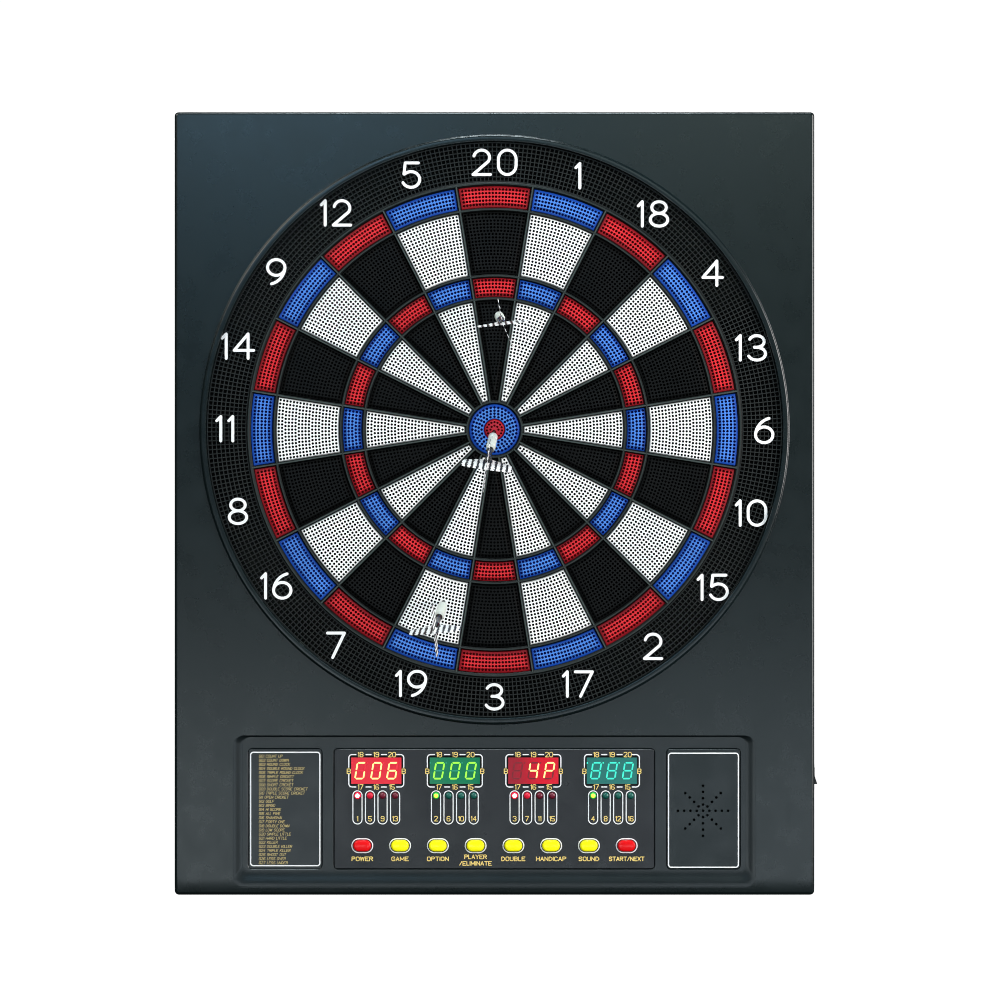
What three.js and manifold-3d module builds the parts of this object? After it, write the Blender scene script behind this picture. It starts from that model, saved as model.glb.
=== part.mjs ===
// An electronic soft-tip dartboard with three darts in it.
//
// Millimetres, +Z up. The board faces -Y and hangs on a wall that touches its back at Y = 0.
// The origin is the axis of the bullseye, on the back face.
import * as THREE from "three";
import { mergeVertices } from "three/addons/utils/BufferGeometryUtils.js";
import Module from "manifold-3d";

const wasm = await Module();
wasm.setup();

// ---------------------------------------------------------------- driving dimensions
const GAP = 0.3; // clearance between pieces that touch

// housing
const HALF_WIDTH = 255;
const TOP_Z = 253.2;
const BOTTOM_Z = -371;
const CORNER_RADIUS = 3.5;
const DEPTH = 30; // front plate's face
const WALL = 2.5;
const PLATE = 3;
const COVER_THICKNESS = 2.5;

// raised lip round the target
const LIP_INNER = 229.6;
const LIP_OUTER = 234.4;
const LIP_RISE = 2;
const TUBE_OUTER = 232.8;

// regulation 15.5 inch soft-tip target: edges of the scoring areas
const SECTORS = [20, 1, 18, 4, 13, 6, 10, 15, 2, 17, 3, 19, 7, 16, 8, 11, 14, 9, 12, 5];
const SECTOR_ANGLE = (2 * Math.PI) / SECTORS.length;
const INNER_BULL_RADIUS = 8.2;
const OUTER_BULL_RADIUS = 20.2;
const RINGS = [
  { inner: 23.6, outer: 102.6 },
  { inner: 105.9, outer: 120.9 },
  { inner: 124.2, outer: 173.8 },
  { inner: 177.1, outer: 194.1 },
];
const SPIDER_OUTER = 197.6;
const SPIDER_BAR = 2.4; // width of a bar between two sectors
const FACETS_PER_SECTOR = 3;

// depths behind the wall plane, as positive distances towards the thrower
const BOARD = [8, 13];
const MEMBRANE = [13.3, 13.7];
const MAT = [14, 15.5];
const CARRIER = [17, 18.6];
const SEGMENT_FRONT = 28.9;
const SPIDER = [18.9, 29.5];
const CATCH_RING = [25, 28];
const CATCH_OUTER = 229.2;
const CATCH_WALL = 2.6;

// control area
const RECESS_DEPTH = 2;
const RECESS = { left: -206.8, right: 206.4, bottom: -359.9, top: -243.9 };
const FASCIA = { left: -127.6, right: 127.2, bottom: -349.8, top: -254.7 };
const CARD = { left: -195.7, right: -137.9, bottom: -349.8, top: -254.7 };
const GRILLE = { left: 137.7, right: 195.5, bottom: -349.8, top: -254.7 };
const LEDGE = 4; // width of the ledge that a fitted panel rests on
const PANEL_PROUD = 0.3;
const PANEL_THICKNESS = 1.5;

// displays
const DISPLAY_X = [-94.2, -31.6, 31, 93.6];
const DISPLAY_Z = -271.9;
const DISPLAY_WIDTH = 42;
const DISPLAY_HEIGHT = 23;
const DISPLAY_DEPTH = [20.1, 27.9];
const PCB = [18.2, 19.8];

// indicator lamps, four under each display
const LED_PITCH = 10;
const LED_Z = -291.7;
const LED_RADIUS = 2.5;
const LED_STRIP = [20.1, 21.6];
const LED_SHOULDER = 28.3;
const LED_TIP = 29.9;

// push buttons
const BUTTON_PITCH = 30.1;
const BUTTON_COUNT = 8;
const BUTTON_Z = -331.6;
const BUTTON_WIDTH = 13.8;
const BUTTON_HEIGHT = 8.8;
const BUTTON_DEPTH = [23, 31];
const BUTTON_FLANGE = [24.5, 26.5];

// speaker
const SPEAKER_X = 166.2;
const SPEAKER_Z = -303.8;
const SPEAKER_HOLE_RADIUS = 1;
const SPEAKER_HOLE_PITCH = 5;
const SPEAKER_ARMS = 8;
const SPEAKER_HOLES_PER_ARM = 4;

// power switch and power inlet, both in the right side wall
const SWITCH_Y = -15;
const SWITCH_Z = -277.3;
const PADDLE_TILT = 9; // degrees at rest, lower end out
const INLET_Y = -15;
const INLET_Z = -310.3;

// darts
const DART_TIP_LENGTH = 24;
const DART_BARREL_END = 74;
const DART_SHAFT_END = 112;
const DART_LENGTH = 143;
const DART_BARREL_RADIUS = 3.65;
const VANE_HALF_SPAN = 19.5;
const VANE_THICKNESS = 0.9;
// Where each dart's point is (x, depth from the wall, z), how far its tail drops and swings to the
// side, and how far the vanes are turned about the shaft, in degrees.
const DARTS = [
  { name: "dart_1", point: [3, 21.5, 92.5], drop: 7, swing: 1.5, roll: 7 },
  { name: "dart_2", point: [0, 21.5, 0], drop: 13.5, swing: -2.5, roll: -8 },
  { name: "dart_3", point: [-40.2, 21.5, -136.2], drop: 8, swing: -2, roll: 5 },
];

// back
const KEYHOLE_X = 150;
const KEYHOLE_Z = 205;
const KEYHOLE_HEAD = 5.5;
const KEYHOLE_SLOT = 2.6;
const KEYHOLE_RISE = 12;
const BOARD_FEET_RADIUS = 195;
const BOARD_FEET = 6;

// ---------------------------------------------------------------- materials
const material = (color, roughness, metalness = 0) =>
  new THREE.MeshStandardMaterial({ color, roughness, metalness });
const HOUSING = material(0x2b3338, 0.55);
const BACK = material(0x1f2427, 0.6);
const RING_BLACK = material(0x101214, 0.5);
const SPIDER_GREY = material(0x46524f, 0.5);
const SEGMENT_WHITE = material(0xf2f2f0, 0.4);
const SEGMENT_BLACK = material(0x141516, 0.45);
const BULL_BLUE = material(0x1d55d8, 0.35);
const BULL_RED = material(0xc81428, 0.35);
const RUBBER = material(0x1a1a1a, 0.9);
const FILM = material(0xc8ccc4, 0.4);
const BOARD_BROWN = material(0x6b5238, 0.8);
const PCB_GREEN = material(0x1e5a34, 0.5);
const DISPLAY_SHELL = material(0x2a1a20, 0.3);
const BUTTON_RED = material(0xc81e28, 0.4);
const BUTTON_YELLOW = material(0xe6dc1e, 0.4);
const FASCIA_BLACK = material(0x24292f, 0.45);
const CARD_GREY = material(0x2a2f34, 0.4);
const SPEAKER_BLACK = material(0x1c1c1e, 0.7);
const LED_CLEAR = material(0xd84040, 0.2);
const SWITCH_BLACK = material(0x121212, 0.4);
const TIP_BLACK = material(0x1a1a1c, 0.5);
const BARREL_NICKEL = material(0xb8babb, 0.25, 1);
const FLIGHT_WHITE = material(0xe8e8e6, 0.5);

// ---------------------------------------------------------------- solids
// A closed three.js geometry as a manifold-3d solid.
function solid(geometry) {
  const bare = geometry.clone();
  bare.deleteAttribute("normal");
  bare.deleteAttribute("uv");
  const merged = mergeVertices(bare, 1e-4);
  return new wasm.Manifold(
    new wasm.Mesh({
      numProp: 3,
      vertProperties: merged.attributes.position.array,
      triVerts: new Uint32Array(merged.index.array),
    }),
  );
}

// A manifold-3d solid as a three.js geometry.
function geometryOf(made) {
  const out = made.getMesh();
  const indexed = new THREE.BufferGeometry();
  indexed.setAttribute("position", new THREE.BufferAttribute(out.vertProperties, out.numProp));
  indexed.setIndex(new THREE.BufferAttribute(out.triVerts, 1));
  const flat = indexed.toNonIndexed();
  flat.computeVertexNormals();
  return flat;
}

const join = (...parts) => parts.reduce((whole, part) => whole.add(part));
const cut = (whole, ...parts) => parts.reduce((rest, part) => rest.subtract(part), whole);

// Extrudes a shape drawn in x and z from one depth to another, both measured from the wall.
function slab(shape, near, far) {
  const made = new THREE.ExtrudeGeometry(shape, { depth: far - near, bevelEnabled: false });
  return solid(made.rotateX(Math.PI / 2).translate(0, -near, 0));
}

// Cuts holes right through a solid, one for each flat shape.
function pierce(whole, shapes) {
  return cut(whole, ...shapes.map((shape) => slab(shape, 0, DEPTH + 5)));
}

// Turns a profile of [radius, height] points, listed from the top down, round the Z axis.
function turned(profile, segments) {
  const points = profile.map(([radius, height]) => new THREE.Vector2(radius, height));
  return new THREE.LatheGeometry(points.reverse(), segments).rotateX(Math.PI / 2);
}

// ---------------------------------------------------------------- flat shapes
// The point at a radius and an angle that runs clockwise from the top, as seen from the front.
function polar(radius, angle) {
  return new THREE.Vector2(radius * Math.sin(angle), radius * Math.cos(angle));
}

function polygon(points) {
  return new THREE.Shape(points);
}

function circle(radius, sides, x = 0, z = 0, turn = 0) {
  const points = [];
  for (let i = 0; i < sides; i++) {
    const p = polar(radius, turn + (2 * Math.PI * i) / sides);
    points.push(new THREE.Vector2(x + p.x, z + p.y));
  }
  return polygon(points);
}

// Circles round the bull share these facets, whose corners fall on the sector lines.
const ROUND = SECTORS.length * FACETS_PER_SECTOR;
const FINE = 2 * ROUND;
const SMALL = ROUND / 2;
const ring = (radius, sides = ROUND) => circle(radius, sides, 0, 0, SECTOR_ANGLE / 2);

function rectangle({ left, right, bottom, top }, radius = 0, grow = 0) {
  const l = left - grow;
  const r = right + grow;
  const b = bottom - grow;
  const t = top + grow;
  if (radius <= 0) {
    return polygon([
      new THREE.Vector2(l, b),
      new THREE.Vector2(r, b),
      new THREE.Vector2(r, t),
      new THREE.Vector2(l, t),
    ]);
  }
  const points = [];
  const corners = [
    [r - radius, t - radius, 0],
    [l + radius, t - radius, 1],
    [l + radius, b + radius, 2],
    [r - radius, b + radius, 3],
  ];
  for (const [x, z, quarter] of corners) {
    for (let i = 0; i <= 3; i++) {
      const angle = (quarter + i / 3) * (Math.PI / 2);
      points.push(new THREE.Vector2(x + radius * Math.cos(angle), z + radius * Math.sin(angle)));
    }
  }
  return polygon(points);
}

const centred = (x, z, width, height) => ({
  left: x - width / 2,
  right: x + width / 2,
  bottom: z - height / 2,
  top: z + height / 2,
});

// A slot shape with round ends, lying along x.
function stadium(x, z, width, height, steps = 4) {
  const points = [];
  const radius = height / 2;
  const reach = width / 2 - radius;
  for (const side of [1, -1]) {
    for (let i = 0; i <= steps; i++) {
      const angle = -Math.PI / 2 + (Math.PI * i) / steps;
      points.push(
        new THREE.Vector2(
          x + side * (reach + radius * Math.cos(angle)),
          z + side * radius * Math.sin(angle),
        ),
      );
    }
  }
  return polygon(points);
}

// A piece of a ring inside sector number i, its sides parallel to the sector lines at a distance.
function wedge(i, inner, outer, offset) {
  const middle = i * SECTOR_ANGLE;
  const half = SECTOR_ANGLE / 2;
  const arc = (radius) => {
    const edge = half - Math.asin(offset / radius);
    const step = SECTOR_ANGLE / FACETS_PER_SECTOR;
    const flat = radius * Math.cos(step / 2);
    const angles = [-edge];
    for (let k = 1; k < FACETS_PER_SECTOR; k++) {
      const angle = -half + k * step;
      if (Math.abs(angle) < edge - 0.001) angles.push(angle);
    }
    angles.push(edge);
    return angles.map((angle) => {
      const turnFromFacet = ((((angle + half) % step) + step) % step) - step / 2;
      return polar(flat / Math.cos(turnFromFacet), middle + angle);
    });
  };
  return [...arc(outer), ...arc(inner).reverse()];
}

// ---------------------------------------------------------------- housing and back
function frontHousing() {
  const outline = { left: -HALF_WIDTH, right: HALF_WIDTH, bottom: BOTTOM_Z, top: TOP_Z };
  const shell = cut(
    slab(rectangle(outline, CORNER_RADIUS), COVER_THICKNESS + GAP, DEPTH),
    slab(rectangle(outline, CORNER_RADIUS - WALL, -WALL), 0, DEPTH - PLATE),
  );
  const lip = slab(ring(LIP_OUTER, FINE), DEPTH - PLATE, DEPTH + LIP_RISE);
  const tube = slab(ring(TUBE_OUTER), BOARD[1] + GAP, DEPTH - 1);
  const panFloor = DEPTH - RECESS_DEPTH - PLATE;
  const pan = slab(rectangle(RECESS, 0, 3), panFloor, DEPTH - 1);
  const recess = slab(rectangle(RECESS, 7), DEPTH - RECESS_DEPTH, DEPTH + 1);
  const opening = slab(ring(LIP_INNER, FINE), 0, DEPTH + 5);
  const face = DEPTH - RECESS_DEPTH;
  const seatFloor = face + PANEL_PROUD - PANEL_THICKNESS - GAP;
  const cuts = [opening, recess];
  for (const panel of [FASCIA, GRILLE]) {
    cuts.push(slab(rectangle(panel, 2, GAP), seatFloor, DEPTH));
    cuts.push(slab(rectangle(panel, 0, -LEDGE), 0, DEPTH));
  }
  cuts.push(slab(rectangle(CARD, 2, GAP), face - 0.8, DEPTH));
  cuts.push(sideCut(SWITCH_Y, SWITCH_Z, 12.4, 19.4));
  cuts.push(sideRound(INLET_Y, INLET_Z, 4.6));
  return cut(join(shell, lip, tube, pan), ...cuts);
}

// A rectangular hole through the right side wall.
function sideCut(y, z, wide, tall) {
  return solid(new THREE.BoxGeometry(20, wide, tall).translate(HALF_WIDTH, y, z));
}

// A round hole through the right side wall.
function sideRound(y, z, radius) {
  const bar = new THREE.CylinderGeometry(radius, radius, 20, 16);
  return solid(bar.rotateZ(Math.PI / 2).translate(HALF_WIDTH, y, z));
}

function backCover() {
  const outline = { left: -HALF_WIDTH, right: HALF_WIDTH, bottom: BOTTOM_Z, top: TOP_Z };
  let cover = slab(rectangle(outline, CORNER_RADIUS), 0, COVER_THICKNESS);
  for (const x of [-KEYHOLE_X, KEYHOLE_X]) {
    const head = slab(circle(KEYHOLE_HEAD, 16, x, KEYHOLE_Z), -1, 5);
    const neck = { left: x - KEYHOLE_SLOT, right: x + KEYHOLE_SLOT };
    const slot = { ...neck, bottom: KEYHOLE_Z, top: KEYHOLE_Z + KEYHOLE_RISE };
    const end = slab(circle(KEYHOLE_SLOT, 12, x, KEYHOLE_Z + KEYHOLE_RISE), -1, 5);
    cover = cut(cover, head, slab(rectangle(slot), -1, 5), end);
  }
  return cover;
}

// The fibreboard disc behind the target, with feet that rest on the back cover.
function backingBoard() {
  let board = disc(TUBE_OUTER, BOARD);
  for (let i = 0; i < BOARD_FEET; i++) {
    const p = polar(BOARD_FEET_RADIUS, (2 * Math.PI * (i + 0.5)) / BOARD_FEET);
    board = board.add(slab(circle(5, 8, p.x, p.y), COVER_THICKNESS + GAP, BOARD[0] + 0.5));
  }
  return board;
}

// The circuit board behind the control area, on four spacers.
function mainPcb() {
  const outline = { left: -119, right: 119, bottom: -344.5, top: -260.5 };
  let board = slab(rectangle(outline), ...PCB);
  for (const x of [-108, 108]) {
    for (const z of [-266.5, -338.5]) {
      board = board.add(slab(circle(4, 8, x, z), COVER_THICKNESS + GAP, PCB[0] + 0.5));
    }
  }
  return board;
}

// ---------------------------------------------------------------- target
// The black ring round the target that carries the numbers: a face with two walls behind it.
function catchRing() {
  const inner = SPIDER_OUTER + GAP;
  const body = cut(
    slab(ring(CATCH_OUTER, FINE), MAT[1] + GAP, CATCH_RING[1]),
    slab(ring(inner), 0, DEPTH),
  );
  const hollow = cut(
    slab(ring(CATCH_OUTER - CATCH_WALL), 0, CATCH_RING[0]),
    slab(ring(inner + CATCH_WALL), 0, DEPTH),
  );
  return cut(body, hollow);
}

// The fixed grid between the scoring areas. Its outer wall reaches back to the mat.
function spider() {
  const windows = [ring(OUTER_BULL_RADIUS + GAP)];
  for (let i = 0; i < SECTORS.length; i++) {
    for (const { inner, outer } of RINGS) {
      windows.push(polygon(wedge(i, inner - GAP, outer + GAP, SPIDER_BAR / 2)));
    }
  }
  const grid = pierce(slab(ring(SPIDER_OUTER), ...SPIDER), windows);
  const foot = slab(ring(SPIDER_OUTER), MAT[1] + GAP, SPIDER[0] + 0.5);
  return join(grid, pierce(foot, [ring(RINGS[3].outer + 1.6)]));
}

// The straight hole that a dart's point makes in the piece it is stuck in.
function pointHole(dart) {
  const hole = turned(
    [
      [0, 14],
      [1.7, 14],
      [1.4, 0],
      [1.4, -2.6],
      [0, -2.6],
    ],
    12,
  );
  return solid(hole.applyMatrix4(dartMatrix(dart)));
}

// The four scoring blocks of one number, joined by the plate that slides behind the spider.
function numberKey(i) {
  const carrierOuter = RINGS[3].outer + 1;
  let key = slab(polygon(wedge(i, RINGS[0].inner - 1, carrierOuter, 0.4)), ...CARRIER);
  for (const { inner, outer } of RINGS) {
    const block = polygon(wedge(i, inner, outer, SPIDER_BAR / 2 + GAP));
    key = key.add(slab(block, CARRIER[1] - 0.5, SEGMENT_FRONT));
  }
  if (SECTORS[i] === 20) key = key.subtract(pointHole(DARTS[0]));
  if (SECTORS[i] === 19) key = key.subtract(pointHole(DARTS[2]));
  return key;
}

function outerBull() {
  const flange = slab(ring(OUTER_BULL_RADIUS + 1.2), ...CARRIER);
  const body = slab(ring(OUTER_BULL_RADIUS), CARRIER[1] - 0.5, SEGMENT_FRONT);
  return pierce(join(flange, body), [ring(INNER_BULL_RADIUS + GAP, SMALL)]);
}

function innerBull() {
  const body = slab(ring(INNER_BULL_RADIUS, SMALL), CARRIER[0], SEGMENT_FRONT);
  return body.subtract(pointHole(DARTS[1]));
}

const disc = (radius, [near, far]) => slab(ring(radius), near, far);

// ---------------------------------------------------------------- control area
function ledPositions() {
  const places = [];
  for (const x of DISPLAY_X) {
    for (let k = 0; k < 4; k++) {
      places.push(x + (k - 1.5) * LED_PITCH);
    }
  }
  return places;
}

const buttonX = (i) => (i - (BUTTON_COUNT - 1) / 2) * BUTTON_PITCH;
const PANEL_FRONT = DEPTH - RECESS_DEPTH + PANEL_PROUD;
const PANEL = [PANEL_FRONT - PANEL_THICKNESS, PANEL_FRONT];

function controlFascia() {
  const holes = [];
  for (const x of DISPLAY_X) {
    const window = centred(x, DISPLAY_Z, DISPLAY_WIDTH, DISPLAY_HEIGHT);
    holes.push(rectangle(window, 0, GAP));
  }
  for (const x of ledPositions()) {
    holes.push(circle(LED_RADIUS + GAP + 0.1, 8, x, LED_Z));
  }
  for (let i = 0; i < BUTTON_COUNT; i++) {
    const wide = BUTTON_WIDTH + 2 * GAP;
    holes.push(stadium(buttonX(i), BUTTON_Z, wide, BUTTON_HEIGHT + 2 * GAP));
  }
  return pierce(slab(rectangle(FASCIA, 2), ...PANEL), holes);
}

function speakerGrille() {
  const hole = (x, z) => circle(SPEAKER_HOLE_RADIUS, 6, x, z);
  const holes = [hole(SPEAKER_X, SPEAKER_Z)];
  for (let arm = 0; arm < SPEAKER_ARMS; arm++) {
    for (let k = 1; k <= SPEAKER_HOLES_PER_ARM; k++) {
      const p = polar(k * SPEAKER_HOLE_PITCH, (2 * Math.PI * arm) / SPEAKER_ARMS);
      holes.push(hole(SPEAKER_X + p.x, SPEAKER_Z + p.y));
    }
  }
  return pierce(slab(rectangle(GRILLE, 2), ...PANEL), holes);
}

// A small loudspeaker: flange, basket, cone dished in at the front, magnet behind.
function speaker() {
  const driver = turned(
    [
      [0, 17],
      [8, 17],
      [20, 23],
      [24, 24.1],
      [26.5, 24.1],
      [26.5, 22.6],
      [24, 22.6],
      [16, 14.5],
      [14, 14.5],
      [14, 8],
      [0, 8],
    ],
    16,
  );
  return solid(driver.rotateX(Math.PI / 2).translate(SPEAKER_X, 0, SPEAKER_Z));
}

function ledBar() {
  const reach = DISPLAY_X[3] + 2 * LED_PITCH + 1;
  let bar = slab(rectangle(centred(0, LED_Z, 2 * reach, 6)), ...LED_STRIP);
  for (const x of ledPositions()) {
    const lamp = turned(
      [
        [0, LED_TIP],
        [LED_RADIUS * 0.7, LED_TIP - 0.4],
        [LED_RADIUS, LED_SHOULDER],
        [LED_RADIUS, LED_STRIP[0] + 0.5],
        [0, LED_STRIP[0] + 0.5],
      ],
      8,
    );
    bar = bar.add(solid(lamp.rotateX(Math.PI / 2).translate(x, 0, LED_Z)));
  }
  return bar;
}

function button(i) {
  const cap = stadium(buttonX(i), BUTTON_Z, BUTTON_WIDTH, BUTTON_HEIGHT);
  const flange = rectangle(centred(buttonX(i), BUTTON_Z, BUTTON_WIDTH + 3, BUTTON_HEIGHT + 3));
  return join(slab(cap, ...BUTTON_DEPTH), slab(flange, ...BUTTON_FLANGE));
}

// ---------------------------------------------------------------- side fittings
// The switch's frame: a flange outside the wall and a box through it, open to the outside.
function rockerFrame() {
  const outside = HALF_WIDTH + GAP;
  const box = (x0, x1, wide, tall) =>
    solid(
      new THREE.BoxGeometry(x1 - x0, wide, tall).translate((x0 + x1) / 2, SWITCH_Y, SWITCH_Z),
    );
  return cut(
    join(box(outside, outside + 1.2, 14.5, 21.5), box(240, outside + 0.5, 11.8, 18.8)),
    box(244, outside + 5, 8.6, 15.6),
  );
}

// The paddle, in its own frame: pivot at the origin, its two faces meeting in a shallow valley.
function rockerPaddle() {
  const side = new THREE.Shape([
    new THREE.Vector2(-4, -5.8),
    new THREE.Vector2(-4, 5.8),
    new THREE.Vector2(3.6, 6.8),
    new THREE.Vector2(2.5, 0),
    new THREE.Vector2(3.6, -6.8),
  ]);
  const made = new THREE.ExtrudeGeometry(side, { depth: 8, bevelEnabled: false });
  return made.rotateX(Math.PI / 2).translate(0, 4, 0);
}

// The power inlet: a barrel with a closed end and a pin down its middle.
function dcJack() {
  const barrel = turned(
    [
      [0, 13.5],
      [1, 13.5],
      [1, 3],
      [2.8, 3],
      [2.8, 15],
      [4.2, 15],
      [4.2, 11.9],
      [5.6, 11.9],
      [5.6, 0],
      [0, 0],
    ],
    16,
  );
  return solid(barrel.rotateY(Math.PI / 2).translate(HALF_WIDTH - 14.8, INLET_Y, INLET_Z));
}

// ---------------------------------------------------------------- darts
// A dart is drawn with its point at the origin and its tail up the Z axis.
function dartMatrix({ point, drop, swing, roll }) {
  const rad = Math.PI / 180;
  const place = new THREE.Matrix4().makeTranslation(point[0], -point[1], point[2]);
  const sideways = new THREE.Matrix4().makeRotationZ(swing * rad);
  const down = new THREE.Matrix4().makeRotationX((90 + drop) * rad);
  const turn = new THREE.Matrix4().makeRotationZ(roll * rad);
  return place.multiply(sideways).multiply(down).multiply(turn);
}

function dartTip() {
  return turned(
    [
      [0, DART_TIP_LENGTH - GAP],
      [2.6, DART_TIP_LENGTH - GAP],
      [2.4, 20],
      [1.1, 18],
      [1, 6],
      [0.7, 1.5],
      [0, 0],
    ],
    10,
  );
}

function dartBarrel() {
  const profile = [
    [0, DART_BARREL_END - GAP],
    [2.5, DART_BARREL_END - GAP],
    [3.1, DART_BARREL_END - 5],
  ];
  for (let k = 0; k < 3; k++) {
    const top = DART_BARREL_END - 10 - 12 * k;
    profile.push([DART_BARREL_RADIUS, top]);
    profile.push([DART_BARREL_RADIUS, top - 9]);
    profile.push([DART_BARREL_RADIUS - 0.5, top - 10]);
  }
  profile.push([2.7, DART_TIP_LENGTH]);
  profile.push([0, DART_TIP_LENGTH]);
  return turned(profile, 10);
}

// The shaft, thinner along its middle, with the four vanes of the flight in its split end.
function dartFlight() {
  const shaft = solid(
    turned(
      [
        [0, DART_SHAFT_END + 8],
        [1.6, DART_SHAFT_END + 8],
        [2.6, DART_SHAFT_END - 2],
        [2.1, DART_SHAFT_END - 8],
        [2.1, DART_BARREL_END + 4],
        [2.7, DART_BARREL_END],
        [0, DART_BARREL_END],
      ],
      10,
    ),
  );
  const outline = new THREE.Shape([
    new THREE.Vector2(-0.5, DART_SHAFT_END - 4),
    new THREE.Vector2(3, DART_SHAFT_END - 4),
    new THREE.Vector2(VANE_HALF_SPAN - 2, DART_SHAFT_END + 8),
    new THREE.Vector2(VANE_HALF_SPAN, DART_SHAFT_END + 12),
    new THREE.Vector2(VANE_HALF_SPAN, DART_LENGTH - 5),
    new THREE.Vector2(VANE_HALF_SPAN - 3, DART_LENGTH - 1),
    new THREE.Vector2(2, DART_LENGTH),
    new THREE.Vector2(-0.5, DART_LENGTH),
  ]);
  let whole = shaft;
  for (let k = 0; k < 4; k++) {
    const vane = new THREE.ExtrudeGeometry(outline, {
      depth: VANE_THICKNESS,
      bevelEnabled: false,
    });
    vane.rotateX(Math.PI / 2).translate(0, VANE_THICKNESS / 2, 0);
    whole = whole.add(solid(vane.rotateZ((Math.PI / 2) * k)));
  }
  return whole;
}

// ---------------------------------------------------------------- assembly
const dartboard = new THREE.Group();

function place(name, made, look, group = dartboard) {
  const mesh = new THREE.Mesh(made.isBufferGeometry ? made : geometryOf(made), look);
  mesh.name = name;
  group.add(mesh);
  return mesh;
}

place("front_housing", frontHousing(), HOUSING);
place("back_cover", backCover(), BACK);
place("catch_ring", catchRing(), RING_BLACK);
place("spider", spider(), SPIDER_GREY);
for (let i = 0; i < SECTORS.length; i++) {
  const look = i % 2 === 0 ? SEGMENT_BLACK : SEGMENT_WHITE;
  place(`key_${SECTORS[i]}`, numberKey(i), look);
}
place("outer_bull", outerBull(), BULL_BLUE);
place("inner_bull", innerBull(), BULL_RED);
place("rubber_mat", disc(CATCH_OUTER, MAT), RUBBER);
place("membrane_sheet", disc(CATCH_OUTER, MEMBRANE), FILM);
place("backing_board", backingBoard(), BOARD_BROWN);

place("control_fascia", controlFascia(), FASCIA_BLACK);
place("games_card", slab(rectangle(CARD, 2), 27.5, 27.9), CARD_GREY);
place("speaker_grille", speakerGrille(), FASCIA_BLACK);
place("speaker", speaker(), SPEAKER_BLACK);
place("main_pcb", mainPcb(), PCB_GREEN);
for (let i = 0; i < DISPLAY_X.length; i++) {
  const window = centred(DISPLAY_X[i], DISPLAY_Z, DISPLAY_WIDTH, DISPLAY_HEIGHT);
  place(`display_${i + 1}`, slab(rectangle(window), ...DISPLAY_DEPTH), DISPLAY_SHELL);
}
place("indicator_lamps", ledBar(), LED_CLEAR);
for (let i = 0; i < BUTTON_COUNT; i++) {
  const look = i === 0 || i === BUTTON_COUNT - 1 ? BUTTON_RED : BUTTON_YELLOW;
  place(`button_${i + 1}`, button(i), look);
}

place("rocker_frame", rockerFrame(), SWITCH_BLACK);
const paddle = place("rocker_paddle", rockerPaddle(), SWITCH_BLACK);
paddle.position.set(HALF_WIDTH - 1.2, SWITCH_Y, SWITCH_Z);
paddle.rotation.y = (-PADDLE_TILT * Math.PI) / 180;
place("dc_jack", dcJack(), SWITCH_BLACK);

for (const dart of DARTS) {
  const group = new THREE.Group();
  group.applyMatrix4(dartMatrix(dart));
  place(`${dart.name}_tip`, dartTip(), TIP_BLACK, group);
  place(`${dart.name}_barrel`, dartBarrel(), BARREL_NICKEL, group);
  place(`${dart.name}_flight`, dartFlight(), FLIGHT_WHITE, group);
  dartboard.add(group);
}

export default dartboard;
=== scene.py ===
# The looks of an electronic soft-tip dartboard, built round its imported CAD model.
#
# Shapes are drawn in millimetres as (x, depth, z): x to the right, depth from the wall towards
# the thrower, z up, with the origin where the bullseye's axis meets the wall.
import math

import bmesh
import bpy
from mathutils import Matrix, Vector
from mathutils.geometry import delaunay_2d_cdt


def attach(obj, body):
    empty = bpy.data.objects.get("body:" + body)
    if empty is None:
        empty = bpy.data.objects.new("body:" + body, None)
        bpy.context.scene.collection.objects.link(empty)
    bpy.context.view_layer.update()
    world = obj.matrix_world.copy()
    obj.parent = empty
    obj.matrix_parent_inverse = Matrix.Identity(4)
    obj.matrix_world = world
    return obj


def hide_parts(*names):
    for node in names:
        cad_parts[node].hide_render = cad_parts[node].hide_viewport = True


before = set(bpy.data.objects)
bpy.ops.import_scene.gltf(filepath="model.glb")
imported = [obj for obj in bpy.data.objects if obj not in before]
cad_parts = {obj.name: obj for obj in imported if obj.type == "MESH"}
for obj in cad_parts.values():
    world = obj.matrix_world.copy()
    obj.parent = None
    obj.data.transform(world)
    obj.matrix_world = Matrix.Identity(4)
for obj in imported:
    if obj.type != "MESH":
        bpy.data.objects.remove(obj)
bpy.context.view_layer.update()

MM = 0.001
TURN = 2 * math.pi

# ---- dimensions
HALF_WIDTH, TOP_Z, BOTTOM_Z = 255.0, 253.2, -371.0
CORNER = 3.5
FACE = 30.0
LIP_INNER, LIP_TOP = 229.6, 32.0

SECTORS = [20, 1, 18, 4, 13, 6, 10, 15, 2, 17, 3, 19, 7, 16, 8, 11, 14, 9, 12, 5]
HALF_SECTOR = TURN / 40
INNER_BULL, OUTER_BULL = 8.2, 20.2
SIDE_GAP = 1.5  # from a sector's edge to the side of a block
BLOCK_TOP, BLOCK_SHOULDER, BLOCK_BACK = 28.9, 27.6, 18.0
HOLE, RINGED_HOLE = 1.0, 1.1  # radii
HOLE_SIDES = 8
RIDGE_TOP, BAR_SHOULDER, BAR_BACK = 29.5, 28.4, 19.0
SPIDER_RINGS = [(20.5, 23.3), (102.9, 105.6), (121.2, 123.9), (174.1, 176.8)]
CATCH_INNER, CATCH_OUTER, CATCH_FLOOR, CATCH_TOP = 197.9, 229.2, 25.0, 28.0
NUMBER_RADIUS = 213.6

BLOCK_FALL, BLOCK_CHAMFER = 0.8, 0.35  # depth of the slope round a block, and width of its edge
HOLE_FLOOR, DART_HOLE_FLOOR = 26.2, 20.4
ROUND = 240  # sides of the large circles

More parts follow.
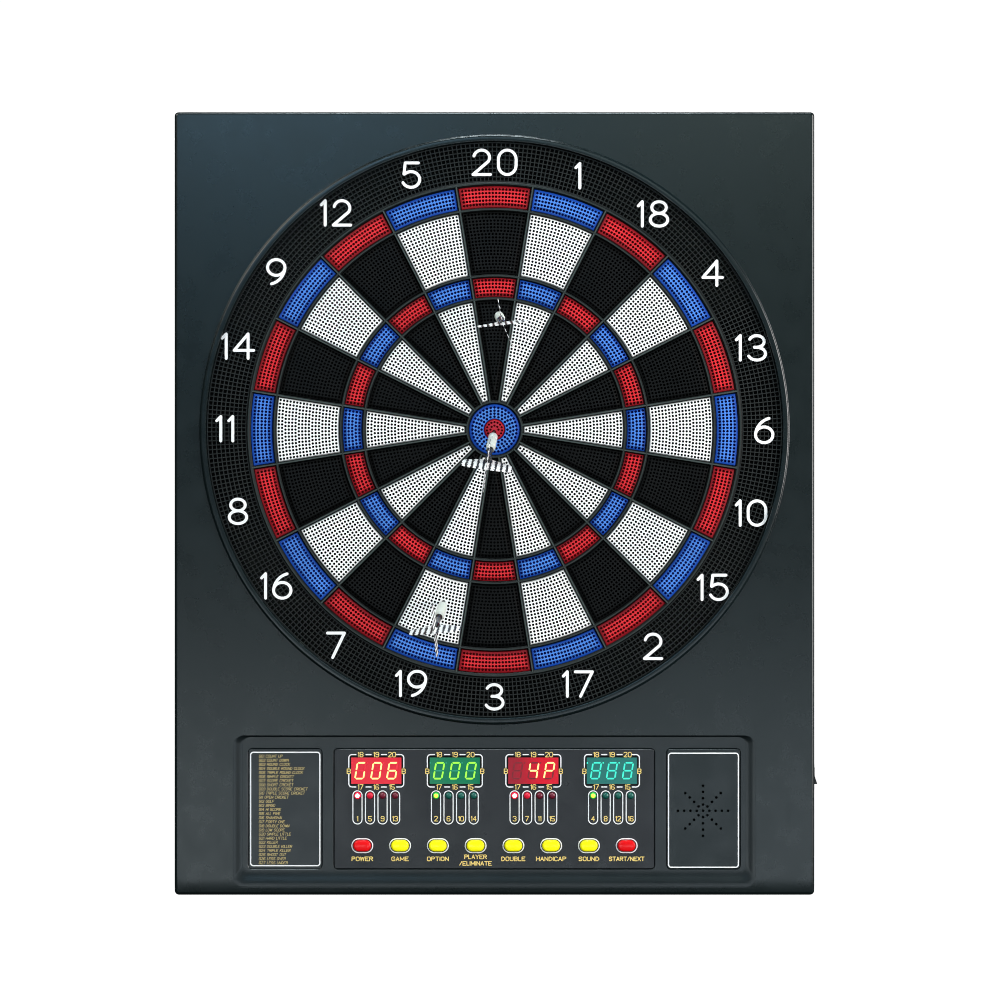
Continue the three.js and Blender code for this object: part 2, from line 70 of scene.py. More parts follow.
RECESS_FACE = 28.0
PANEL_BACK, PANEL_FACE = 26.8, 28.3
PRINT_RISE = 0.04  # how far print stands off its panel
RECESS_SIDES = (-206.8, 206.4, -359.9, -243.9)
FASCIA = (-127.6, 127.2, -349.8, -254.7)
CARD = (-195.7, -137.9, -349.8, -254.7)
GRILLE = (137.7, 195.5, -349.8, -254.7)
DISPLAY_X = [-94.2, -31.6, 31.0, 93.6]
DISPLAY_Z = -271.9
LAMP_Z = -291.7
BUTTON_X = [(i - 3.5) * 30.1 for i in range(8)]
BUTTON_Z = -331.6
SPEAKER = (166.2, -303.8)
SIDE_DEPTH, SWITCH_Z, INLET_Z = 15.0, -277.3, -310.3


# ---- materials
def linear(red, green, blue):
    """The linear colour of an 8-bit display colour."""
    values = [v / 255 for v in (red, green, blue)]
    return [v / 12.92 if v <= 0.04045 else ((v + 0.055) / 1.055) ** 2.4 for v in values] + [1.0]


class Look:
    """A procedural material: clouded colour, uneven gloss and a fine moulded grain."""

    def __init__(self, name, color, rough=0.45, metal=0.0, vary=0.1, grain=1500, bump=0.08,
                 coat=0.0, specular=0.5, glow=None, power=0.0, plain=False):
        self.material = bpy.data.materials.new(name)
        self.material.use_nodes = True
        self.tree = self.material.node_tree
        self.shader = self.tree.nodes["Principled BSDF"]
        self.put("Metallic", metal)
        self.put("Coat Weight", coat)
        self.put("Specular IOR Level", specular)
        if coat:
            self.put("Coat Roughness", 0.12)
        if glow:
            self.put("Emission Color", linear(*glow))
            self.put("Emission Strength", power)
        self.place = self.node("ShaderNodeTexCoord", "Object")
        cloud = self.noise(55, 5)
        base = linear(*color)
        if plain:
            self.put("Base Color", base)
        else:
            low = [c * (1 - vary) for c in base[:3]] + [1]
            high = [min(1, c * (1 + vary)) for c in base[:3]] + [1]
            self.join(self.ramp(cloud, [(0.3, low), (0.7, high)]), "Base Color")
        self.join(self.spread(cloud, rough - 0.4 * vary, rough + 0.5 * vary), "Roughness")
        self.bump(self.noise(grain, 3), bump)

    def node(self, kind, output, **inputs):
        """Adds a node, sets or links its inputs by name, and gives one of its outputs."""
        made = self.tree.nodes.new(kind)
        for name, value in inputs.items():
            socket = made.inputs[name.replace("_", " ")]
            if isinstance(value, bpy.types.NodeSocket):
                self.tree.links.new(value, socket)
            else:
                socket.default_value = value
        return made.outputs[output]

    def put(self, socket, value):
        self.shader.inputs[socket].default_value = value

    def join(self, output, socket):
        self.tree.links.new(output, self.shader.inputs[socket])

    def noise(self, scale, detail):
        return self.node("ShaderNodeTexNoise", "Fac", Scale=scale, Detail=detail, Vector=self.place)

    def ramp(self, factor, stops, sharp=False):
        color = self.node("ShaderNodeValToRGB", "Color", Fac=factor)
        colors = color.node.color_ramp
        colors.interpolation = "CONSTANT" if sharp else "LINEAR"
        for element, (at, stop) in zip(colors.elements, stops):
            element.position, element.color = at, stop
        for at, stop in stops[2:]:
            colors.elements.new(at).color = stop
        return color

    def spread(self, factor, low, high):
        """Turns the usual reach of a noise into a range of values."""
        return self.node("ShaderNodeMapRange", "Result", Value=factor, From_Min=0.3, From_Max=0.7,
                         To_Min=max(low, 0.02), To_Max=min(high, 1.0))

    def graded(self, left, right, low, high):
        """Base colour and glow that change along x, from one place to another."""
        x = self.node("ShaderNodeSeparateXYZ", "X", Vector=self.place)
        along = self.node("ShaderNodeMapRange", "Result", Value=x, From_Min=left * MM,
                          From_Max=right * MM)
        for socket, start, end in zip(("Base Color", "Emission Color"), low, high):
            self.join(self.ramp(along, [(0, linear(*start)), (1, linear(*end))]), socket)

    def bump(self, height, strength):
        normal = self.node("ShaderNodeBump", "Normal", Height=height, Strength=strength,
                           Distance=0.2 * MM)
        self.join(normal, "Normal")


def look(name, *args, **kwargs):
    return Look(name, *args, **kwargs).material


HOUSING = look("housing_plastic", (9, 20, 21), 0.28, vary=0.05, grain=1300, bump=0.045)
# The lip is the housing plastic made a little lighter: a painted sheen on the raised lip.
LIP_SHEEN = look("lip_plastic_painted_sheen", (12, 23, 25), 0.25, vary=0.06, grain=1600, bump=0.03)
RECESS = look("recess_plastic", (16, 24, 26), 0.3, vary=0.05, grain=1500, bump=0.08)
BACK = look("back_plastic", (34, 38, 41), 0.55, vary=0.2, grain=700, bump=0.5)
# Near-black for the insides of keyholes, vent slots and screw crosses: painted shade in the hollows.
HOLLOW_SHADE = look("hollow_painted_shade", (5, 6, 7), 0.7, grain=900, bump=0.1, plain=True, specular=0.2)

# Settings that several looks share: block faces, their edges in painted shade, holes in painted shade, dark
# plastics and print.
FACES = {"vary": 0.1, "bump": 0.1, "specular": 0.3}
EDGES = {"vary": 0.12, "bump": 0.1, "specular": 0.25}
HOLE_SHADES = {"plain": True, "specular": 0.1}
PLASTIC = {"vary": 0.15, "bump": 0.12}
PRINT = {"vary": 0.06, "bump": 0.05}

# Block slopes and sides take darker copies of each block's colour: painted shade.
BLACK = look("segment_black", (9, 10, 10), 0.44, vary=0.16, bump=0.12, specular=0.16)
BLACK_SHADED_EDGE = look("segment_black_painted_shade", (4, 5, 5), 0.5, vary=0.16, bump=0.12, specular=0.1)
WHITE = look("segment_white", (246, 247, 246), 0.4, vary=0.03)
WHITE_SHADED_EDGE = look("segment_white_painted_shade", (240, 241, 240), 0.45, vary=0.03)
# The flat faces of red and blue blocks and of the blue bull ring take lighter copies of their colour:
# painted sheen.
RED_SHEEN = look("segment_red_painted_sheen", (220, 38, 46), 0.36, **FACES)
RED_SHADED_EDGE = look("segment_red_painted_shade", (138, 6, 20), 0.42, **EDGES)
RED_HALF_SHADE = look("segment_red_painted_half_shade", (172, 17, 28), 0.4, **FACES)
BLUE_SHEEN = look("segment_blue_painted_sheen", (74, 132, 230), 0.36, **FACES)
BLUE_SHADED_EDGE = look("segment_blue_painted_shade", (14, 70, 170), 0.42, **EDGES)
BLUE_HALF_SHADE = look("segment_blue_painted_half_shade", (44, 100, 192), 0.4, **FACES)
BULL_BLUE_SHEEN = look("bull_blue", (68, 126, 220), 0.36, bump=0.1, specular=0.45)
BULL_RED = look("bull_red", (180, 28, 46), 0.36, bump=0.1, specular=0.4)
# Hole linings, near-black, maroon and navy: painted shade in the holes.
HOLE_SHADE_BLACK = look("hole_painted_shade_black", (2, 2, 3), 0.7, plain=True, specular=0.05)
HOLE_SHADE_RED = look("hole_painted_shade_red", (112, 4, 12), 0.6, **HOLE_SHADES)
HOLE_SHADE_BLUE = look("hole_painted_shade_blue", (2, 14, 120), 0.6, **HOLE_SHADES)
SPIDER = look("spider_plastic", (10, 14, 14), 0.48, specular=0.2, **PLASTIC)
# The spider's ridges and hoop tops are lighter copies of its plastic: painted highlight.
SPIDER_RIDGE_HIGHLIGHT = look("spider_ridge_painted_highlight", (54, 64, 61), 0.42, vary=0.12, bump=0.12)
SPIDER_ARC_HIGHLIGHT = look("spider_arc_painted_highlight", (36, 44, 42), 0.42, vary=0.12, bump=0.12, specular=0.35)
RING = look("ring_plastic", (35, 38, 37), 0.45, specular=0.3, **PLASTIC)
RING_FLOOR_SHADE = look("ring_floor_painted_shade", (2, 2, 2), 0.6, plain=True, specular=0.05)
BOSS = look("number_boss", (8, 9, 9), 0.5, vary=0.15, specular=0.15)
BEZEL = look("display_bezel", (16, 16, 18), 0.4, vary=0.15, specular=0.3)
PRINT_WHITE = look("print_white", (252, 252, 252), 0.5, vary=0.04, bump=0.05)
PRINT_PALE = look("print_pale_gold", (206, 184, 120), 0.45, **PRINT)
PRINT_GOLD = look("print_gold", (255, 220, 126), 0.45, **PRINT)


# ---- meshes
class Shape:
    """Points (x, depth, z) in millimetres, and faces with the number of their material."""

    def __init__(self):
        self.points, self.faces, self.looks = [], [], []

    def add(self, points, faces, look=0):
        start = len(self.points)
        self.points.extend(points)
        self.faces.extend(tuple(start + i for i in face) for face in faces)
        self.looks.extend([look] * len(faces))
        return self

    def stack(self, outline, profile, look=0, **ends):
        """Bands that join an outline drawn at each (inset, depth) of a profile."""
        return self.add(*loft([at_depth(outline(inset), d) for inset, d in profile], **ends), look)

    def turn(self, profile, sides, centre=(0.0, 0.0), look=0, **ends):
        """A profile of (radius, depth) points turned round an axis square to the wall."""
        return self.stack(lambda radius: circle(radius, sides, centre), profile, look, **ends)

    def wall(self, loop, near, far, look=0, **ends):
        """A straight band of a loop from one depth to another."""
        return self.stack(lambda _: loop, ((0, near), (0, far)), look, **ends)


def piece(name, shape, materials, slot, body="board", stands_for=None, smooth=None, matrix=None):
    """Makes a visible piece, hangs it on the body it rides on, and hides the CAD node it stands for."""
    mesh = bpy.data.meshes.new(name)
    mesh.from_pydata([(x * MM, -d * MM, z * MM) for x, d, z in shape.points], [], shape.faces)
    for material in materials:
        mesh.materials.append(material)
    mesh.polygons.foreach_set("material_index", shape.looks)
    made = bmesh.new()
    made.from_mesh(mesh)
    bmesh.ops.remove_doubles(made, verts=made.verts, dist=2e-6)
    bmesh.ops.recalc_face_normals(made, faces=made.faces)
    made.to_mesh(mesh)
    made.free()
    if smooth:
        mesh.polygons.foreach_set("use_smooth", [True] * len(mesh.polygons))
        mesh.set_sharp_from_angle(angle=math.radians(smooth))
    obj = bpy.data.objects.new(name, mesh)
    bpy.context.scene.collection.objects.link(obj)
    if matrix:
        obj.matrix_world = matrix
    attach(obj, body)
    if stands_for:
        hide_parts(stands_for)
    return obj


def weighted(obj):
    """Keeps flat faces flat where they run into small rounded edges."""
    modifier = obj.modifiers.new("normals", "WEIGHTED_NORMAL")
    modifier.keep_sharp = True
    modifier.weight = 100


def at_depth(flat, depth):
    return [(x, depth, z) for x, z in flat]


def polar(radius, angle):
    return (radius * math.sin(angle), radius * math.cos(angle))


def circle(radius, sides, centre=(0.0, 0.0), turn=0.0):
    points = [polar(radius, turn + TURN * i / sides) for i in range(sides)]
    return [(centre[0] + x, centre[1] + z) for x, z in points]


def box(left, right, bottom, top, radius, inset=0.0, steps=6):
    """A rectangle with rounded corners, drawn counter-clockwise from its right side."""
    radius = max(radius - inset, 0.05)
    left, right, bottom, top = left + inset, right - inset, bottom + inset, top - inset
    corners = [(right, top, 0), (left, top, 1), (left, bottom, 2), (right, bottom, 3)]
    points = []
    for x, z, quarter in corners:
        x -= math.copysign(radius, x - (left + right) / 2)
        z -= math.copysign(radius, z - (bottom + top) / 2)
        for i in range(steps + 1):
            angle = (quarter + i / steps) * math.pi / 2
            points.append((x + radius * math.cos(angle), z + radius * math.sin(angle)))
    return points


def around(x, z, wide, tall, radius, inset=0.0, steps=6):
    return box(x - wide / 2, x + wide / 2, z - tall / 2, z + tall / 2, radius, inset, steps)


def loft(rings, closed=True, back=False, front=False):
    """Bands between rings with the same number of points, with flat ends if asked for."""
    count = len(rings[0])
    points = [p for ring in rings for p in ring]
    faces = []
    for k in range(len(rings) - 1):
        for i in range(count if closed else count - 1):
            a, b = k * count + i, k * count + (i + 1) % count
            faces.append((a, b, b + count, a + count))
    if back:
        faces.append(tuple(range(count)))
    if front:
        faces.append(tuple(range(len(points) - count, len(points))))
    return points, faces


def fill(outline, holes=(), creases=()):
    """Triangles between an outline and its holes, as (flat points, faces).

    Creases are closed lines that are kept as edges, and may cross holes.
    """
    loops = [outline, *holes, *creases]
    points, edges, owner = [], [], []
    for number, loop in enumerate(loops):
        start, count = len(points), len(loop)
        points += [Vector(p) for p in loop]
        edges += [(start + i, start + (i + 1) % count) for i in range(count)]
        owner += [number] * count
    flat, _, faces, sources, _, _ = delaunay_2d_cdt(points, edges, [], 0, 1e-6)
    of = [{owner[i] for i in found} for found in sources]
    kept = []
    for face in faces:
        shared = set.intersection(*(of[i] for i in face))
        x = sum(flat[i].x for i in face) / 3
        z = sum(flat[i].y for i in face) / 3
        if shared:
            number = min(shared)
            dropped = number <= len(holes) and inside(x, z, loops[number]) == (number > 0)
        elif creases and any(not of[i] or min(of[i]) > len(holes) for i in face):
            dropped = any(inside(x, z, hole) for hole in holes)
        else:
            dropped = False
        if not dropped:
            kept.append(tuple(face))
    return [(p.x, p.y) for p in flat], kept


def inside(x, z, loop):
    """Whether a point lies inside a closed loop."""
    found = False
    for (x1, z1), (x2, z2) in zip(loop, loop[1:] + loop[:1]):
        if (z1 > z) != (z2 > z) and x < x1 + (z - z1) * (x2 - x1) / (z2 - z1):
            found = not found
    return found


def plate(outline, holes, back, front):
    """A flat front with holes, and the walls of its edge and holes."""
    flat, faces = fill(outline, holes)
    shape = Shape().add(at_depth(flat, front), faces)
    for loop in [outline, *holes]:
        shape.wall(loop, back, front)
    return shape


def strokes(lines, width, sides=10):
    """The joined outline of round-ended strokes, as (flat points, faces, border edges)."""
    points, polygons, radius = [], [], width / 2
    for line in lines:
        for (x1, z1), (x2, z2) in zip(line, line[1:]):
            heading = math.atan2(z2 - z1, x2 - x1)
            start = len(points)
            for x, z, turn in ((x2, z2, -0.5), (x1, z1, 0.5)):
                for i in range(sides // 2 + 1):
                    a = heading + math.pi * (turn + 2 * i / sides)
                    points.append(Vector((x + radius * math.cos(a), z + radius * math.sin(a))))
            polygons.append(list(range(start, len(points))))
    flat, _, faces, _, _, source = delaunay_2d_cdt(points, [], polygons, 0, 1e-6)
    faces = [tuple(f) for f, found in zip(faces, source) if found]
    count = {}
    for face in faces:
        for a, b in zip(face, face[1:] + face[:1]):
            key = (min(a, b), max(a, b))
            count[key] = count.get(key, 0) + 1
    return [(p.x, p.y) for p in flat], faces, [e for e, n in count.items() if n == 1]


def raised(shape, lines, width, back, front, look=0, sides=10):
    flat, faces, border = strokes(lines, width, sides)
    count = len(flat)
    points = at_depth(flat, front) + at_depth(flat, back)
    walls = [(a, b, b + count, a + count) for a, b in border]
    shape.add(points, faces + walls, look)


def ink(shape, lines, width, depth, look=0):
    flat, faces, _ = strokes(lines, width, 6)
    shape.add(at_depth(flat, depth), faces, look)


def arc(x, z, wide, tall, start, end, steps=14):
    """Points on an ellipse from one angle to another, in degrees from +x."""
    angles = [math.radians(start + (end - start) * i / steps) for i in range(steps + 1)]
    return [(x + wide * math.cos(a), z + tall * math.sin(a)) for a in angles]


def shifted(lines, dx, dz, scale=1.0, lean=0.0):
    return [[(dx + scale * (x + lean * z), dz + scale * z) for x, z in line] for line in lines]


# ---- housing
def fillet(radius, steps=6):
    """(inset, drop) pairs of a rounded edge, from the side up to the face."""
    angles = [math.pi / 2 * i / steps for i in range(steps + 1)]
    return [(radius * (1 - math.cos(a)), radius * (1 - math.sin(a))) for a in angles]


def housing():
    shape = Shape()
    around_all = (-HALF_WIDTH, HALF_WIDTH, BOTTOM_Z, TOP_Z, CORNER)
    start, rounding = 3.2, 2.6  # where the side walls start, and the radius of the front edge
    edge = [(0.4, 2.8), (0.0, start)] + [(inset, FACE - drop) for inset, drop in fillet(rounding)]
    points, faces = loft([at_depth(box(*around_all, inset), d) for inset, d in edge])
    # The right side's flat face is left out here, and filled round its two holes below.
    count = len(points) // len(edge)
    right = (2 * count - 1, count, 2 * count, 3 * count - 1)
    faces = [f for f in faces if set(f) != set(right)]
    shape.add(points, faces)
    low, high = BOTTOM_Z + CORNER, TOP_Z - CORNER
    side = [(start, low), (FACE - rounding, low), (FACE - rounding, high), (start, high)]
    holes = [around(SIDE_DEPTH, SWITCH_Z, 12.4, 19.4, 0.6, steps=3),
             circle(4.6, 32, (SIDE_DEPTH, INLET_Z))]
    flat, side_faces = fill(side, holes)
    shape.add([(HALF_WIDTH, d, z) for d, z in flat], side_faces)
    for hole in holes:
        shape.add(*loft([[(x, d, z) for d, z in hole] for x in (HALF_WIDTH, HALF_WIDTH - 2.5)]))

    # front face, lip and the sunk control area
    lip = [(235.3, FACE), (234.9, 30.06), (234.55, 30.35), (234.4, 30.9), (234.2, 31.4),
           (233.7, 31.8), (232.9, LIP_TOP), (230.7, LIP_TOP), (230.0, 31.8), (229.7, 31.3),
           (LIP_INNER, 30.7), (LIP_INNER, 22.0)]
    sunk = []
    for i in range(9):
        t = i / 8
        ease = t * t * (3 - 2 * t)
        left, right, bottom, top = RECESS_SIDES
        sides = (left - 1.8 + 8.4 * t, right + 1.8 - 8.4 * t,
                 bottom - 4.9 + 13.4 * t, top + 0.4 - 1.6 * t)
        sunk.append(at_depth(box(*sides, 8.5 - 2.5 * t), FACE - (FACE - RECESS_FACE) * ease))
    openings = [circle(lip[0][0], ROUND), [(x, z) for x, _, z in sunk[0]]]
    flat, faces = fill(box(*around_all, rounding), openings)
    shape.add(at_depth(flat, FACE), faces)
    shape.turn(lip, ROUND, look=1)
    shape.add(*loft(sunk), 2)
    panels = (FASCIA, CARD, GRILLE)
    flat, faces = fill([(x, z) for x, _, z in sunk[-1]], [box(*panel, 3.0, -1.0) for panel in panels])
    shape.add(at_depth(flat, RECESS_FACE), faces, 2)
    for panel in panels:
        shape.stack(lambda grown: box(*panel, 3.0, -grown),
                    ((1.0, RECESS_FACE), (0.3, 27.4), (0.3, 26.0)), 2)
    obj = piece("housing", shape, [HOUSING, LIP_SHEEN, RECESS], "housing_plastic",
                stands_for="front_housing", smooth=40)
    roll_under(obj.data)
    weighted(obj)


def roll_under(mesh):
    """Lets the front face fall back a little towards the bottom edge."""
    start, drop, cuts, apart = -357.0, 1.2, 6, 2.2
    made = bmesh.new()
    made.from_mesh(mesh)
    for k in range(cuts):
        every = made.verts[:] + made.edges[:] + made.faces[:]
        bmesh.ops.bisect_plane(made, geom=every, plane_co=(0, 0, (start - apart * k) * MM),
                               plane_no=(0, 0, 1))
    for vert in made.verts:
        t = (start - vert.co.z / MM) / (start - BOTTOM_Z)
        if t > 0 and vert.co.y < -20 * MM:
            vert.co.y += drop * t * t * MM
    made.to_mesh(mesh)
    made.free()


# ---- target
def edge_angle(radius, offset):
    return HALF_SECTOR - math.asin(min(1.0, offset / radius))


def block_outline(inner, outer, inset, steps=12):
    """A block's outline in the sector round +z, moved in by an inset."""
    points = []
    for radius, sign in ((outer - inset, 1), (inner + inset, -1)):
        reach = edge_angle(radius, SIDE_GAP + inset)
        if reach <= 0:
            points.append((0.0, (SIDE_GAP + inset) / math.sin(HALF_SECTOR)))
            continue
        for i in range(steps + 1):
            points.append(polar(radius, sign * reach * (2 * i / steps - 1)))
    return points


def rows(radii, counts, margin=3.4, reach=None):
    """Holes on arcs: a count on each radius, spread evenly between the margins."""
    holes = []
    for radius, count in zip(radii, counts):
        half = reach if reach else HALF_SECTOR - margin / radius
        for i in range(count):
            at = 0 if count == 1 else half * (2 * i / (count - 1) - 1)
            holes.append(polar(radius, at))
    return holes


def steps_between(first, last, count):
    """Evenly spaced values from the first to the last."""
    return [first + (last - first) * i / (count - 1) for i in range(count)]


def drilled(shape, holes, height, look):
    """Walls and floors of small holes, in a look that paints shade into them. A hole is a top loop, and a
    bottom loop if it slants.
    """
    for top, bottom in holes:
        low = bottom or top
        rim = [(x, height(x, z), z) for x, z in top]
        points, faces = loft([at_depth(low, DART_HOLE_FLOOR if bottom else HOLE_FLOOR), rim], back=True)
        shape.add(points, faces, look)


def block(inner, outer, border, centres, hole=HOLE, point=None):
    """A scoring block in the sector round +z: a flat, a border that slopes off, and holes.

    The slope is split at a middle line, so that its inner and outer part can take different depths of
    painted shade.
    A dart's point goes in at `point`, where its axis meets the block's top and the hole's floor.
    """
    middle = 0.4 * border
    outline = block_outline(inner, outer, BLOCK_CHAMFER)

    def height(x, z):
        radius, angle = math.hypot(x, z), abs(math.atan2(x, z))
        side = radius * math.sin(HALF_SECTOR - angle) - SIDE_GAP
        inset = min(radius - inner, outer - radius, side)
        return BLOCK_TOP - BLOCK_FALL * min(1.0, max(0.0, (border - inset) / (border - BLOCK_CHAMFER)))

    holes, dart_hole, clear = [], 1.4, 2.7
    for x, z in centres:
        if point and math.hypot(x - point[0][0], z - point[0][1]) < clear:
            continue
        turn = math.atan2(x, z) + TURN / 16
        holes.append((circle(hole, HOLE_SIDES, (x, z), turn), None))
    if point:
        holes.append(tuple(circle(dart_hole, 16, centre) for centre in point))
    creases = [block_outline(inner, outer, inset) for inset in (border, middle) if inset > 0.5]
    flat, faces = fill(outline, [top for top, _ in holes], creases)
    points = [(x, height(x, z), z) for x, z in flat]
    shape = Shape()
    # Faces are sorted by how far they fall: the flat takes look 0, the outer slope and sides look 1, the
    # inner slope look 3; looks 1 and 3 are painted shade.
    drop = BLOCK_FALL * (border - middle) / (border - BLOCK_CHAMFER)
    bands, hair = {0: [], 1: [], 3: []}, 0.002
    for face in faces:
        fall = BLOCK_TOP - min(points[i][1] for i in face)
        bands[0 if fall < hair else 3 if middle > 0.5 and fall < drop + hair else 1].append(face)
    for band, kept in bands.items():
        shape.add(points, kept, band)
    side = block_outline(inner, outer, 0)
    shape.add(*loft([at_depth(side, BLOCK_BACK), at_depth(side, BLOCK_SHOULDER),
                     [(x, height(x, z), z) for x, z in outline]], back=True), 1)
    drilled(shape, holes, height, 2)
    return shape


def rotated(shape, angle):
    """The shape turned clockwise round the bull's axis."""
    made = Shape()
    c, s = math.cos(angle), math.sin(angle)
    made.add([(x * c + z * s, d, z * c - x * s) for x, d, z in shape.points], [])
    made.faces, made.looks = shape.faces, shape.looks
    return made


def dart_crossing(dart, depth):
    """Where a dart's axis passes a depth, in x and z."""
    matrix = dart_matrix(dart)
    start, along = matrix.translation / MM, matrix.to_3x3() @ Vector((0, 0, 1))
    t = (-depth - start.y) / along.y
    return (start.x + t * along.x, start.z + t * along.z)


def turned_back(point, angle):
    """The point (x, z) turned the other way, into the sector round +z."""
    c, s = math.cos(-angle), math.sin(-angle)
    return (point[0] * c + point[1] * s, point[1] * c - point[0] * s)


BORDER = 3.25  # width of the slope round a coloured or black block


def target():
    radii = steps_between(25.4, 100.8, 29)
    inner = rows(radii, [max(1, round(2 * (r * HALF_SECTOR - 3.4) / 2.75) + 1) for r in radii])
    triple = rows(steps_between(119.1, 107.7, 5), [12, 12, 12, 11, 11])
    outer = rows(steps_between(171.9, 126.5, 18),
                 [18, 18, 17, 17, 17, 17, 16, 16, 16, 16, 15, 15, 15, 14, 14, 14, 13, 13])
    double = rows(steps_between(191.5, 179.7, 5), [20] * 5, reach=math.radians(7.72))
    areas = {
        "inner": (23.6, 102.6, BORDER, inner),
        "triple": (105.9, 120.9, BORDER, triple, RINGED_HOLE),
        "outer": (124.2, 173.8, BORDER, outer),
        "double": (177.1, 194.1, 3.95, double, RINGED_HOLE),
    }
    stuck = {(20, "inner"): DARTS[0], (19, "outer"): DARTS[2]}
    plain = {area: block(*sizes) for area, sizes in areas.items()}
    white = {area: (areas[area][0], areas[area][1], 0.7, areas[area][3]) for area in ("inner", "outer")}
    flat = {area: block(*sizes) for area, sizes in white.items()}
    for i, number in enumerate(SECTORS):
        angle = i * 2 * HALF_SECTOR
        for area, sizes in areas.items():
            ringed = area in ("triple", "double")
            # A block's looks: its face, painted shade on its outer slope and sides, painted shade in its
            # holes, and lighter painted shade on its inner slope.
            if i % 2 == 0:
                looks = ([RED_SHEEN, RED_SHADED_EDGE, HOLE_SHADE_RED, RED_HALF_SHADE] if ringed
                         else [BLACK, BLACK_SHADED_EDGE, HOLE_SHADE_BLACK, BLACK_SHADED_EDGE])
            else:
                looks = ([BLUE_SHEEN, BLUE_SHADED_EDGE, HOLE_SHADE_BLUE, BLUE_HALF_SHADE] if ringed
                         else [WHITE, WHITE_SHADED_EDGE, HOLE_SHADE_BLACK])
            bright = i % 2 and area in white
            shape, sizes = (flat[area], white[area]) if bright else (plain[area], sizes)
            dart = stuck.get((number, area))
            if dart:
                point = [turned_back(dart_crossing(dart, d), angle)
                         for d in (BLOCK_TOP, DART_HOLE_FLOOR)]
                shape = block(*sizes, point=point)
            slot = "segment_black" if i % 2 == 0 else "segment_white"
            piece(f"number_{number}_{area}", rotated(shape, angle), looks, slot,
                  f"number_{number}", f"key_{number}")


def round_block(inner, outer, holes, looks, name, slot, body, node, level):
    """A bull: a disc or ring, flat out to a radius and sloping from there, and its holes."""
    chamfer, fall = 0.5, 0.7
    rim = outer - chamfer

    def height(x, z):
        return BLOCK_TOP - fall * max(0.0, (math.hypot(x, z) - level) / (rim - level))

    tops = [top for top, _ in holes]
    if inner:
        tops.append(circle(inner + chamfer, 48))
    flat, faces = fill(circle(rim, 96), tops, [circle(level, 96)])
    points = [(x, height(x, z), z) for x, z in flat]
    sloping = [math.hypot(x, z) > level + 0.01 for x, z in flat]
    shape = Shape()
    # The flat takes the first look and the slope the second, a darker copy of it: painted shade.
    shape.add(points, [f for f in faces if not any(sloping[i] for i in f)], 0)
    shape.add(points, [f for f in faces if any(sloping[i] for i in f)], 1)
    shape.turn([(outer, BLOCK_BACK), (outer, BLOCK_TOP - fall - chamfer), (rim, BLOCK_TOP - fall)],
               96, look=1, back=not inner)
    if inner:
        shape.turn([(inner, BLOCK_BACK), (inner, BLOCK_TOP - chamfer), (inner + chamfer, BLOCK_TOP)],
                   48, look=1)
    drilled(shape, holes, height, 2)
    piece(name, shape, looks, slot, body, node)


def bulls():
    def ring(radius, count, turn=0.0, size=RINGED_HOLE):
        return [(circle(size, HOLE_SIDES, polar(radius, turn + TURN * i / count),
                        TURN * i / count + TURN / 16), None) for i in range(count)]

    outer = ring(17.6, 36) + ring(15.1, 31) + ring(12.7, 26) + ring(10.3, 20)
    round_block(INNER_BULL + 0.3, OUTER_BULL, outer, [BULL_BLUE_SHEEN, BLUE_SHADED_EDGE, HOLE_SHADE_BLUE],
                "bull_ring", "bull_blue", "bull_outer", "outer_bull", 17.4)
    top, low = (dart_crossing(DARTS[1], d) for d in (BLOCK_TOP, DART_HOLE_FLOOR))
    inner = [hole for hole in ring(6.0, 15, size=0.95) + ring(3.2, 8, size=0.95)
             if all(math.hypot(x - top[0], z - top[1]) > 1.9 for x, z in hole[0])]
    inner.append((circle(1.45, 20, top), circle(1.45, 20, low)))
    round_block(0, INNER_BULL, inner, [BULL_RED, RED_HALF_SHADE, HOLE_SHADE_RED],
                "bull_centre", "bull_red", "bull_inner", "inner_bull", 7.08)


def spider():
    """The fixed grid between the blocks: five hoops and twenty bars, each with a pale ridge, a painted
    highlight on its top.
    """
    shape = Shape()

    def hoop(inner_side, ridge, outer_side):
        shape.turn([*inner_side, ridge[0]], ROUND)
        shape.turn(ridge, ROUND, look=2)
        shape.turn([ridge[1], *outer_side], ROUND)

    for inner, outer in SPIDER_RINGS:
        middle = (inner + outer) / 2
        hoop([(inner, BAR_BACK), (inner, BAR_SHOULDER)],
             [(middle - 0.5, RIDGE_TOP), (middle + 0.5, RIDGE_TOP)],
             [(outer, BAR_SHOULDER), (outer, BAR_BACK), (inner, BAR_BACK)])
    hoop([(194.4, BAR_BACK), (194.4, 28.2)], [(195.6, 29.4), (196.7, 29.4)],
         [(197.6, 28.6), (197.6, 15.8), (194.4, 15.8), (194.4, BAR_BACK)])
    top = RIDGE_TOP - 0.03
    section = [(-1.2, BAR_BACK), (-1.2, BAR_SHOULDER), (-0.5, top), (0.5, top),
               (1.2, BAR_SHOULDER), (1.2, BAR_BACK)]
    for i in range(20):
        angle = (i + 0.5) * 2 * HALF_SECTOR
        ends = []
        for radius in (22.0, 195.5):
            ends.append([(radius * math.sin(angle) + x * math.cos(angle), d,
                          radius * math.cos(angle) - x * math.sin(angle)) for x, d in section])
        points, faces = loft(ends, back=True, front=True)
        ridge = faces.pop(2)
        shape.add(points, faces)
        shape.add(points, [ridge], 1)
    piece("spider_grid", shape, [SPIDER, SPIDER_RIDGE_HIGHLIGHT, SPIDER_ARC_HIGHLIGHT], "spider_plastic",
          stands_for="spider", smooth=25)


